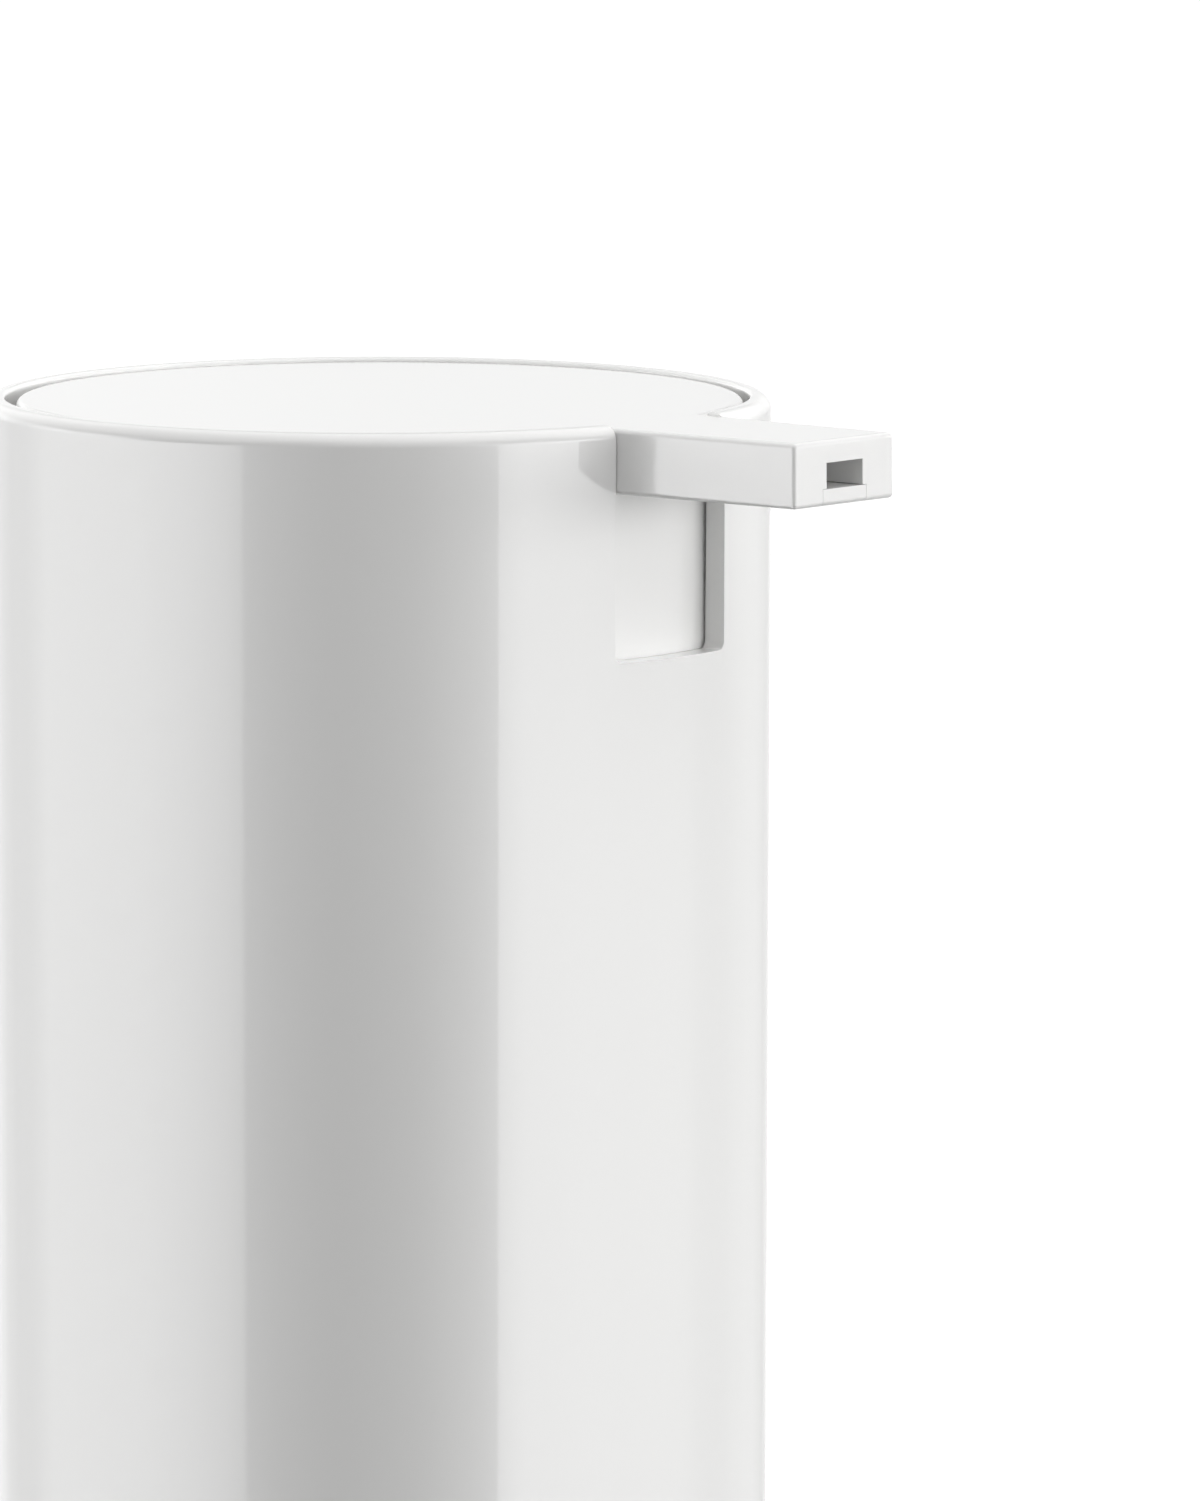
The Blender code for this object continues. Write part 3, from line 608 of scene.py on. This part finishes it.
def makePressButton():
    b, s = button, spout
    under = b["top"] - b["thickness"]
    lip = b["radius"] - b["lipWall"]
    disc = turn(
        [
            (0.0, under),
            (lip, under),
            (lip, spoutUnderside),
            (b["radius"], spoutUnderside),
            (b["radius"], b["top"]),
            (0.0, b["top"]),
        ],
        b["steps"],
    )
    roundRings(disc, (b["radius"], b["top"], b["edgeFillet"], 6))
    ring = turn(
        [
            (b["ringInner"], spoutUnderside),
            (b["ringOuter"], spoutUnderside),
            (b["ringOuter"], under + b["ringSunk"]),
            (b["ringInner"], under + b["ringSunk"]),
        ],
        b["ringSteps"],
    )
    pegs = pegRods(s["pegRadius"], spoutUnderside - s["pegLength"], under)
    shape = combined(disc, [spoutBar(), ring] + pegs, "UNION")
    cutTo = s["cutPastRing"] - b["ringInner"]
    channelFloor = b["top"] - s["channelFloor"]
    stripReach = s["stripHalf"] + s["seam"]
    channel = block(
        (-s["channelHalf"], s["cutFrom"], channelFloor - s["channelSunk"]),
        (s["channelHalf"], cutTo, b["top"] - s["channelTop"]),
    )
    recess = block(
        (-stripReach, s["cutFrom"], spoutUnderside - s["cutBelow"]),
        (stripReach, cutTo, channelFloor + s["seam"]),
    )
    shape = combined(shape, [channel, recess], "DIFFERENCE")
    bmesh.ops.translate(shape, verts=shape.verts[:], vec=moveForward)
    finishPiece(shape, "pressButton", "glossWhite", "button", "press_button")


def makeSpoutFloor():
    b, s = button, spout
    shape = block(
        (-s["stripHalf"], -s["reach"] - spoutFlare, spoutUnderside),
        (s["stripHalf"], -b["ringInner"] - s["stripGap"], b["top"] - s["channelFloor"]),
    )

    def atTip(vert):
        return vert.co.y < -s["reach"] + near

    def lowTip(edge):
        return all(atTip(vert) and vert.co.z < spoutUnderside + near for vert in edge.verts)

    for vert in shape.verts:
        if atTip(vert):
            vert.co.y += spoutFlare * (vert.co.z - spoutUnderside) / s["height"]
    roundEdges(shape, lowTip, s["fillet"], 5)
    bmesh.ops.translate(shape, verts=shape.verts[:], vec=moveForward)
    finishPiece(shape, "spoutStrip", "glossWhite", "button", "spout_floor")


def makeSlotShutter():
    h = shutter
    outer, inner = h["outerRadius"], h["outerRadius"] - h["wall"]
    low = casing["slotSill"] - h["belowSill"]
    high = spoutUnderside - h["belowSpout"]
    tabEnd = inner - h["tabLength"]
    tabLow = high - h["tabThickness"]
    shape = turn(
        [(inner, low), (outer, low), (outer, high), (tabEnd, high), (tabEnd, tabLow), (inner, tabLow)],
        h["steps"],
    )
    roundRings(shape, (outer, low, h["fillet"], 3))
    keep = block((-h["half"], h["front"], low - past), (h["half"], h["back"], high + past))
    shape = combined(shape, [keep], "INTERSECT")
    holes = pegRods(spout["pegRadius"] + h["holeGap"], high - past, high + past)
    shape = combined(shape, holes, "DIFFERENCE")

    def frontCorner(edge):
        upright = abs(edge.verts[0].co.z - edge.verts[1].co.z) > h["uprightLength"]
        return upright and all(
            abs(abs(vert.co.x) - h["half"]) < near and vert.co.xy.length > outer - near for vert in edge.verts
        )

    roundEdges(shape, frontCorner, h["fillet"], 3)
    bmesh.ops.translate(shape, verts=shape.verts[:], vec=moveForward)
    finishPiece(shape, "slotShutter", "glossWhite", "button", "slot_shutter")


makePressButton()
makeSpoutFloor()
makeSlotShutter()
print("stage: button, spout and shutter made")


# Bottle: the reservoir that lifts out with the pump

bottle = {
    "radius": 31.6,
    "wall": 1.2,
    "bottom": 4.7,
    "pushUp": 0.8,
    "standInner": 22.0,
    "standRise": 3.0,
    "standInnerRound": 1.2,
    "standOuterRound": 1.0,
    "heel": 5.0,
    "shoulder": 97.7,
    "shoulderTop": 105.7,
    "shoulderRound": 3.9,
    "neckRound": 0.7,
    "neckRadius": 12.55,
    "neckWall": 1.75,
    "neckTop": 116.0,
    "lipRound": 0.4,
    "threadCrest": 13.75,
    "steps": 144,
}


def makeBottle():
    b, wall = bottle, bottle["wall"]
    inner, neckBore = b["radius"] - wall, b["neckRadius"] - b["neckWall"]
    standOuter = b["standInner"] + b["standRise"]
    shape = turn(
        [
            (0.0, b["bottom"] + b["pushUp"]),
            (b["standInner"], b["bottom"] + b["pushUp"]),
            (standOuter, b["bottom"]),
            (b["radius"], b["bottom"]),
            (b["radius"], b["shoulder"]),
            (b["neckRadius"], b["shoulderTop"]),
            (b["neckRadius"], b["neckTop"]),
            (neckBore, b["neckTop"]),
            (neckBore, b["shoulderTop"] - wall),
            (inner, b["shoulder"] - wall / 2),
            (inner, b["bottom"] + wall),
            (standOuter, b["bottom"] + wall),
            (b["standInner"], b["bottom"] + wall + b["pushUp"]),
            (0.0, b["bottom"] + wall + b["pushUp"]),
        ],
        b["steps"],
    )
    roundRings(
        shape,
        (b["radius"], b["bottom"], b["heel"], 8),
        (inner, b["bottom"] + wall, b["heel"] - wall, 6),
        (b["radius"], b["shoulder"], b["shoulderRound"], 8),
        (inner, b["shoulder"] - wall / 2, b["shoulderRound"] - wall / 2, 6),
        (b["neckRadius"], b["shoulderTop"], b["neckRound"], 4),
        (b["neckRadius"], b["neckTop"], b["lipRound"], 3),
        (neckBore, b["neckTop"], b["lipRound"], 3),
        (b["standInner"], b["bottom"] + b["pushUp"], b["standInnerRound"], 3),
        (standOuter, b["bottom"], b["standOuterRound"], 3),
    )
    neckThread = ridge(b["neckRadius"] - thread["sunk"], b["threadCrest"], thread["start"])
    shape = combined(shape, [neckThread], "UNION")
    finishPiece(shape, "refillBottle", "milkyWhite", "refill", "bottle")


# Screw collar: 24 grip ribs, a flat web over the pump's flange and a thread inside

collar = {
    "top": 121.0,
    "web": 119.4,
    "bottom": 106.4,
    "bore": 8.3,
    "inner": 14.05,
    "outer": 16.25,
    "ribs": 24,
    "stepsPerRib": 10,
    "rib": 0.5,
    "ribsAboveBottom": 0.2,
    # how steep a rib's flanks are: 0.5 would make a plain wave
    "ribFlank": 1.3,
    "topRound": 0.8,
    "edgeRound": 0.3,
    "threadCrest": 12.85,
}


def makeCollar():
    c = collar
    shape = turn(
        [
            (c["bore"], c["top"]),
            (c["outer"], c["top"]),
            (c["outer"], c["bottom"]),
            (c["inner"], c["bottom"]),
            (c["inner"], c["web"]),
            (c["bore"], c["web"]),
        ],
        c["ribs"] * c["stepsPerRib"],
    )
    roundRings(
        shape,
        (c["outer"], c["top"], c["topRound"], 5),
        (c["outer"], c["bottom"], c["edgeRound"], 3),
        (c["inner"], c["bottom"], c["edgeRound"], 3),
        (c["bore"], c["top"], c["edgeRound"], 3),
    )
    for vert in shape.verts:
        reach = vert.co.xy.length
        if reach > c["outer"] - 2 * near and vert.co.z > c["bottom"] + c["ribsAboveBottom"]:
            wave = math.cos(math.atan2(vert.co.y, vert.co.x) * c["ribs"])
            vert.co.xy *= (reach + c["rib"] * min(1.0, max(0.0, 0.5 + c["ribFlank"] * wave))) / reach
    start = thread["start"] - thread["pitch"] / 2
    shape = combined(shape, [ridge(c["inner"] + thread["sunk"], c["threadCrest"], start)], "UNION")
    finishPiece(shape, "screwCollar", "satinWhite", "collar", "screw_collar")


# Pump: barrel with its valve seat and tube socket, the cap in its mouth, the stem, its socket and the spring

barrel = {
    "bore": 6.75,
    "radius": 8.0,
    "top": 121.3,
    "flangeRadius": 12.55,
    "flangeTop": 119.1,
    "flangeUnder": 117.6,
    "floor": 81.3,
    "wall": 1.25,
    "chamberRadius": 3.2,
    "chamberFloor": 76.7,
    "portRadius": 1.9,
    "seatEdge": 75.4,
    "socketRoof": 74.1,
    "taper": 5.0,
    "socketBore": 3.05,
    "socketOuter": 4.45,
    "bottom": 65.6,
    "taperRound": 0.8,
    "round": 0.3,
    "steps": 96,
}


def makeBarrel():
    b = barrel
    foot = b["floor"] - b["wall"]
    shape = turn(
        [
            (b["bore"], b["top"]),
            (b["radius"], b["top"]),
            (b["radius"], b["flangeTop"]),
            (b["flangeRadius"], b["flangeTop"]),
            (b["flangeRadius"], b["flangeUnder"]),
            (b["radius"], b["flangeUnder"]),
            (b["radius"], foot),
            (b["socketOuter"], foot - b["taper"]),
            (b["socketOuter"], b["bottom"]),
            (b["socketBore"], b["bottom"]),
            (b["socketBore"], b["socketRoof"]),
            (b["portRadius"], b["socketRoof"]),
            (b["portRadius"], b["seatEdge"]),
            (b["chamberRadius"], b["chamberFloor"]),
            (b["chamberRadius"], b["floor"]),
            (b["bore"], b["floor"]),
        ],
        b["steps"],
    )
    roundRings(
        shape,
        (b["radius"], foot, b["taperRound"], 4),
        (b["socketOuter"], foot - b["taper"], b["taperRound"], 4),
        (b["bore"], b["top"], b["round"], 3),
        (b["radius"], b["top"], b["round"], 3),
        (b["flangeRadius"], b["flangeTop"], b["round"], 3),
        (b["flangeRadius"], b["flangeUnder"], b["round"], 3),
        (b["socketOuter"], b["bottom"], b["round"], 3),
        (b["socketBore"], b["bottom"], b["round"], 3),
    )
    finishPiece(shape, "pumpBarrel", "milkyWhite", "pump", "pump_barrel")


cap = {
    "bore": 4.3,
    "skirt": 6.45,
    "skirtBottom": 113.7,
    "flangeUnder": 121.6,
    "flangeRadius": 9.3,
    "top": 122.8,
    "pocketRadius": 5.7,
    "pocketFloor": 120.0,
    "round": 0.3,
    "steps": 96,
}


def makeCap():
    c = cap
    shape = turn(
        [
            (c["bore"], c["skirtBottom"]),
            (c["skirt"], c["skirtBottom"]),
            (c["skirt"], c["flangeUnder"]),
            (c["flangeRadius"], c["flangeUnder"]),
            (c["flangeRadius"], c["top"]),
            (c["pocketRadius"], c["top"]),
            (c["pocketRadius"], c["pocketFloor"]),
            (c["bore"], c["pocketFloor"]),
        ],
        c["steps"],
    )
    roundRings(
        shape,
        (c["skirt"], c["skirtBottom"], c["round"], 3),
        (c["flangeRadius"], c["flangeUnder"], c["round"], 3),
        (c["flangeRadius"], c["top"], c["round"], 3),
        (c["pocketRadius"], c["top"], c["round"], 3),
    )
    finishPiece(shape, "barrelCap", "satinWhite", "pump", "barrel_cap")


stem = {
    "bore": 1.9,
    "radius": 4.0,
    "bottom": 111.7,
    "footTop": 113.4,
    "footRadius": 5.4,
    "top": 143.4,
    "chamber": 2.5,
    "seat": 138.58,
    "port": 1.5,
    "portLength": 1.5,
    "round": 0.25,
    "steps": 72,
}


def makeStem():
    s = stem
    portEnd = s["seat"] - s["portLength"]
    shape = turn(
        [
            (s["bore"], s["bottom"]),
            (s["footRadius"], s["bottom"]),
            (s["footRadius"], s["footTop"]),
            (s["radius"], s["footTop"]),
            (s["radius"], s["top"]),
            (s["chamber"], s["top"]),
            (s["chamber"], s["seat"] + s["chamber"] - s["port"]),
            (s["port"], s["seat"]),
            (s["port"], portEnd),
            (s["bore"], portEnd - s["bore"] + s["port"]),
        ],
        s["steps"],
    )
    roundRings(
        shape,
        (s["footRadius"], s["bottom"], s["round"], 3),
        (s["footRadius"], s["footTop"], s["round"], 3),
        (s["radius"], s["top"], s["round"], 3),
        (s["chamber"], s["top"], s["round"], 3),
    )
    finishPiece(shape, "pumpStem", "satinWhite", "button", "pump_stem")


stemSocket = {
    "port": 1.6,
    "top": 147.4,
    "roof": 143.7,
    "bore": 4.3,
    "bottom": 137.7,
    "radius": 7.5,
    "headBottom": 143.34,
    "headRadius": 9.9,
    "channelHalf": 2.5,
    "channelFloor": 145.35,
    "channelFront": -15.0,
    "slitHalfLength": 2.4,
    "slitHalfWidth": 0.5,
    "slitSunk": 1.0,
    "footRound": 0.5,
    "round": 0.25,
    "steps": 96,
}


def makeSocket():
    s = stemSocket
    shape = turn(
        [
            (s["port"], s["top"]),
            (s["port"], s["roof"]),
            (s["bore"], s["roof"]),
            (s["bore"], s["bottom"]),
            (s["radius"], s["bottom"]),
            (s["radius"], s["headBottom"]),
            (s["headRadius"], s["headBottom"]),
            (s["headRadius"], s["top"]),
        ],
        s["steps"],
    )
    roundRings(
        shape,
        (s["radius"], s["bottom"], s["footRound"], 4),
        (s["bore"], s["bottom"], s["round"], 3),
        (s["headRadius"], s["headBottom"], s["round"], 3),
    )
    channel = block(
        (-s["channelHalf"], s["channelFront"], s["channelFloor"]),
        (s["channelHalf"], 0.0, s["top"] + past),
    )
    slit = block(
        (-s["slitHalfLength"], -s["slitHalfWidth"], s["roof"] - s["slitSunk"]),
        (s["slitHalfLength"], s["slitHalfWidth"], s["top"] + past),
    )
    shape = combined(shape, [channel, slit], "DIFFERENCE")
    finishPiece(shape, "stemSocket", "satinWhite", "button", "stem_socket")


coil = {
    "bottom": 83.1,
    "top": 104.4,
    "wireRadius": 0.4,
    "radius": 4.9,
    "curls": 6.0,
    # how far the closed curl at each end climbs
    "endLift": 1.28,
    "stepsPerCurl": 48,
    "sides": 12,
    "press": 14.0,
}


def makeSpring():
    # one wire with a closed curl at each end; the real spring shortens as the button goes down, but this mesh
    # keeps one length
    s = coil
    low, high = s["bottom"] + s["wireRadius"], s["top"] - s["wireRadius"]
    shape = bmesh.new()
    rings = []
    count = round(s["curls"] * s["stepsPerCurl"])
    for step in range(count + 1):
        curl = s["curls"] * step / count
        turned = math.tau * curl
        middle = min(max((curl - 1.0) / (s["curls"] - 2.0), 0.0), 1.0)
        ends = min(curl, 1.0) + max(curl - s["curls"] + 1.0, 0.0)
        height = low + s["endLift"] * ends + (high - low - 2.0 * s["endLift"]) * middle
        ring = []
        for side in range(s["sides"]):
            around = math.tau * side / s["sides"]
            reach = s["radius"] + s["wireRadius"] * math.cos(around)
            rise = s["wireRadius"] * math.sin(around)
            ring.append(shape.verts.new((reach * math.cos(turned), reach * math.sin(turned), height + rise)))
        rings.append(ring)
    for first, second in zip(rings, rings[1:]):
        for side in range(s["sides"]):
            shape.faces.new((first[side - 1], first[side], second[side], second[side - 1]))
    shape.faces.new(rings[0])
    shape.faces.new(rings[-1])
    bmesh.ops.recalc_face_normals(shape, faces=shape.faces[:])
    spring = finishPiece(shape, "returnSpring", "steel", "pump", "return_spring")
    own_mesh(spring)


makeBottle()
makeCollar()
makeBarrel()
makeCap()
makeStem()
makeSocket()
makeSpring()
print("stage: bottle, collar and pump made")


# Camera, at the photograph's place

view = {
    "azimuth": -48.335,
    "elevation": 5.7552,
    "distance": 1247.0,
    "aimHeight": 150.0,
    "pitch": 7.2516,
    "yaw": 0.937,
    "roll": -0.0139,
    "lens": 327.626,
    "sensor": 36.0,
    "clipStart": 0.05,  # metres
    "clipEnd": 60.0,  # metres
}


def makeCamera():
    data = bpy.data.cameras.new("productCamera")
    data.lens = view["lens"]
    data.sensor_width = view["sensor"]
    data.clip_start = view["clipStart"]
    data.clip_end = view["clipEnd"]
    camera = bpy.data.objects.new("productCamera", data)
    bpy.context.scene.collection.objects.link(camera)
    side, lift = math.radians(view["azimuth"]), math.radians(view["elevation"])
    away = view["distance"] * toMetres
    camera.location = (
        away * math.sin(side) * math.cos(lift),
        -away * math.cos(side) * math.cos(lift),
        away * math.sin(lift) + view["aimHeight"] * toMetres,
    )
    camera.rotation_euler = (
        math.radians(90.0 - view["pitch"]),
        math.radians(view["roll"]),
        math.radians(view["azimuth"] - view["yaw"]),
    )
    bpy.context.scene.camera = camera


makeCamera()
print("stage: camera placed")


# Room: a pale floor, and a light tent with a bright panel on each side and a dark gap at the camera

room = {
    "floorSize": 14.0,  # metres
    # what the floor sends back to the object, and what the camera sees of it
    "floorBounce": 0.2,
    "floorSeen": 0.85,
    "cameraLift": 0.19,
    # heights at which one light passes into the next, and half the width of each passage, in degrees
    "mirrorTop": (-1.0, 1.0),
    "bandTop": (12.0, 3.0),
    "upperTop": (45.0, 3.0),
    "zenith": 1.329,
    "backdrop": 1.0,
    # what the walls mirror: azimuth from the camera, and strength there
    "mirror": (
        (-180.0, 1.06),
        (-165.0, 1.57),
        (-150.0, 1.66),
        (-140.0, 1.63),
        (-131.0, 2.16),
        (-124.0, 2.59),
        (-116.0, 3.63),
        (-108.0, 4.15),
        (-100.0, 5.04),
        (-88.0, 5.97),
        (-74.0, 6.72),
        (-58.0, 6.29),
        (-46.0, 5.13),
        (-38.0, 3.59),
        (-28.0, 2.42),
        (-14.0, 1.3),
        (0.0, 0.75),
        (12.0, 1.15),
        (22.0, 1.85),
        (29.0, 2.35),
        (36.0, 3.47),
        (43.0, 4.69),
        (52.0, 4.12),
        (64.0, 3.49),
        (80.0, 2.22),
        (95.0, 1.43),
        (106.0, 0.74),
        (118.0, 0.32),
        (130.0, 0.22),
        (142.0, 0.21),
        (160.0, 0.0),
        (180.0, 0.6),
    ),
    # edges of the panels that the walls mirror: azimuth, half width and jump
    "edges": (
        (-136.74, 0.5, -0.2),
        (-114.33, 0.4, 0.44),
        (-39.67, 0.9, -1.35),
        (35.23, 0.25, 2.03),
        (106.2, 0.4, -0.34),
        (126.01, 0.5, 0.14),
    ),
    # the light above that, up to bandTop, and the light from there to upperTop
    "band": (
        (-180.0, 0.93),
        (-150.0, 2.07),
        (-125.0, 2.41),
        (-105.0, 5.41),
        (-85.0, 6.0),
        (-65.0, 0.3),
        (0.0, 0.3),
        (22.0, 0.75),
        (45.0, 6.0),
        (85.0, 6.0),
        (105.0, 3.59),
        (125.0, 1.86),
        (150.0, 0.96),
        (180.0, 0.93),
    ),
    "upper": (
        (-180.0, 0.3),
        (-150.0, 0.86),
        (-125.0, 0.3),
        (-105.0, 0.3),
        (-85.0, 0.56),
        (-65.0, 0.3),
        (65.0, 0.3),
        (85.0, 2.39),
        (105.0, 0.3),
        (125.0, 0.3),
        (150.0, 1.46),
        (180.0, 0.3),
    ),
    # where gloss mirrors something brighter than those two, so that the rim goes on from the wall
    "bandGloss": (
        (-65.0, 1.0),
        (-45.0, 1.0),
        (-22.0, 0.3),
    ),
    "upperGloss": (
        (-165.0, 1.4),
        (-150.0, 1.5),
        (-125.0, 1.5),
        (-105.0, 1.5),
        (-85.0, 1.5),
        (-65.0, 1.5),
        (-46.0, 1.5),
        (-34.0, 0.8),
        (-22.0, 0.3),
    ),
}


def plainLight(tree, strength):
    light = newNode(tree, "ShaderNodeBackground")
    light.inputs["Color"].default_value = (1.0, 1.0, 1.0, 1.0)
    light.inputs["Strength"].default_value = strength
    return light


def ofCircle(degrees):
    return (degrees + 180.0) / 360.0


def roundLight(tree, share, levels, edges=()):
    # a background whose strength changes with azimuth, smoothly along a ramp and sharply at the edges
    ramp = newNode(tree, "ShaderNodeValToRGB")
    least = min(strength for _, strength in levels)
    most = max(strength for _, strength in levels)
    stops = ramp.color_ramp.elements
    while len(stops) > 1:
        stops.remove(stops[-1])
    for index, (degrees, strength) in enumerate(levels):
        stop = stops[0] if index == 0 else stops.new(ofCircle(degrees))
        stop.position = ofCircle(degrees)
        grey = (strength - least) / (most - least)
        stop.color = (grey, grey, grey, 1.0)
    tree.links.new(share.outputs["Result"], ramp.inputs["Fac"])
    total = newNode(tree, "ShaderNodeMapRange")
    total.inputs["To Min"].default_value = least
    total.inputs["To Max"].default_value = most
    tree.links.new(ramp.outputs["Color"], total.inputs["Value"])
    level = total.outputs["Result"]
    for degrees, half, jump in edges:
        edge = newNode(tree, "ShaderNodeMapRange")
        edge.inputs["From Min"].default_value = ofCircle(degrees - half)
        edge.inputs["From Max"].default_value = ofCircle(degrees + half)
        edge.inputs["To Max"].default_value = jump
        added = newNode(tree, "ShaderNodeMath", operation="ADD")
        tree.links.new(share.outputs["Result"], edge.inputs["Value"])
        tree.links.new(edge.outputs["Result"], added.inputs[0])
        tree.links.new(level, added.inputs[1])
        level = added.outputs[0]
    kept = newNode(tree, "ShaderNodeMath", operation="MAXIMUM")
    kept.inputs[1].default_value = 0.0
    tree.links.new(level, kept.inputs[0])
    light = plainLight(tree, 1.0)
    tree.links.new(kept.outputs[0], light.inputs["Strength"])
    return light


def mixedLight(tree, share, first, second):
    light = newNode(tree, "ShaderNodeMixShader")
    tree.links.new(share, light.inputs["Fac"])
    tree.links.new(first.outputs[0], light.inputs[1])
    tree.links.new(second.outputs[0], light.inputs[2])
    return light


def makeWorld():
    world = bpy.data.worlds.new("lightTent")
    world.use_nodes = True
    bpy.context.scene.world = world
    tree = world.node_tree
    tree.nodes.clear()
    link = tree.links.new
    rays = newNode(tree, "ShaderNodeLightPath")
    # the direction, turned so that azimuth 0 is the camera's
    place = newNode(tree, "ShaderNodeTexCoord")
    turned = newNode(tree, "ShaderNodeVectorRotate", rotation_type="Z_AXIS")
    turned.inputs["Angle"].default_value = math.radians(-view["azimuth"])
    parts = newNode(tree, "ShaderNodeSeparateXYZ")
    link(place.outputs["Generated"], turned.inputs["Vector"])
    link(turned.outputs["Vector"], parts.inputs["Vector"])
    front = newNode(tree, "ShaderNodeMath", operation="MULTIPLY")
    front.inputs[1].default_value = -1.0
    link(parts.outputs["Y"], front.inputs[0])
    azimuth = newNode(tree, "ShaderNodeMath", operation="ARCTAN2")
    link(parts.outputs["X"], azimuth.inputs[0])
    link(front.outputs[0], azimuth.inputs[1])
    share = newNode(tree, "ShaderNodeMapRange")
    share.inputs["From Min"].default_value = -math.pi
    share.inputs["From Max"].default_value = math.pi
    link(azimuth.outputs[0], share.inputs["Value"])

    def glossLight(levels, changes):
        # one level that lights, and one with these changes that gloss mirrors
        glossLevels = sorted({**dict(levels), **dict(changes)}.items())
        plain, glossy = roundLight(tree, share, levels), roundLight(tree, share, glossLevels)
        return mixedLight(tree, rays.outputs["Is Glossy Ray"], plain, glossy)

    tent = roundLight(tree, share, room["mirror"], room["edges"])
    for (top, soft), above in (
        (room["mirrorTop"], glossLight(room["band"], room["bandGloss"])),
        (room["bandTop"], glossLight(room["upper"], room["upperGloss"])),
        (room["upperTop"], plainLight(tree, room["zenith"])),
    ):
        height = newNode(tree, "ShaderNodeMapRange", interpolation_type="SMOOTHSTEP")
        height.inputs["From Min"].default_value = math.sin(math.radians(top - soft))
        height.inputs["From Max"].default_value = math.sin(math.radians(top + soft))
        link(parts.outputs["Z"], height.inputs["Value"])
        tent = mixedLight(tree, height.outputs["Result"], tent, above)
    # the camera sees a white background, also through the bottle
    seen = newNode(tree, "ShaderNodeMath", operation="MAXIMUM")
    link(rays.outputs["Is Camera Ray"], seen.inputs[0])
    link(rays.outputs["Is Transmission Ray"], seen.inputs[1])
    whole = mixedLight(tree, seen.outputs[0], tent, plainLight(tree, room["backdrop"]))
    link(whole.outputs[0], newNode(tree, "ShaderNodeOutputWorld").inputs["Surface"])


def makeFloor():
    shape = bmesh.new()
    bmesh.ops.create_grid(shape, x_segments=1, y_segments=1, size=room["floorSize"] / 2)
    floor = toObject(shape, "floor")
    material, tree, shader = newMaterial("paleFloor")
    floor.data.materials.append(material)
    link = tree.links.new
    shader.inputs["Roughness"].default_value = 1.0
    shader.inputs["Specular IOR Level"].default_value = 0.0
    rays = newNode(tree, "ShaderNodeLightPath")
    # what the camera sees is lifted to white, and a shadow still darkens it
    lift = newNode(tree, "ShaderNodeMath", operation="MULTIPLY")
    lift.inputs[1].default_value = room["cameraLift"]
    link(rays.outputs["Is Camera Ray"], lift.inputs[0])
    paint = newNode(tree, "ShaderNodeMapRange")
    paint.inputs["To Min"].default_value = room["floorBounce"]
    paint.inputs["To Max"].default_value = room["floorSeen"]
    link(rays.outputs["Is Camera Ray"], paint.inputs["Value"])
    link(paint.outputs["Result"], shader.inputs["Base Color"])
    shader.inputs["Emission Color"].default_value = (1.0, 1.0, 1.0, 1.0)
    link(lift.outputs[0], shader.inputs["Emission Strength"])
    # gloss mirrors the tent through the floor
    clear = newNode(tree, "ShaderNodeBsdfTransparent")
    mixed = mixedLight(tree, rays.outputs["Is Glossy Ray"], shader, clear)
    link(mixed.outputs[0], tree.nodes["Material Output"].inputs["Surface"])


makeWorld()
makeFloor()
bpy.context.scene.view_settings.view_transform = "Standard"
print("stage: room made")
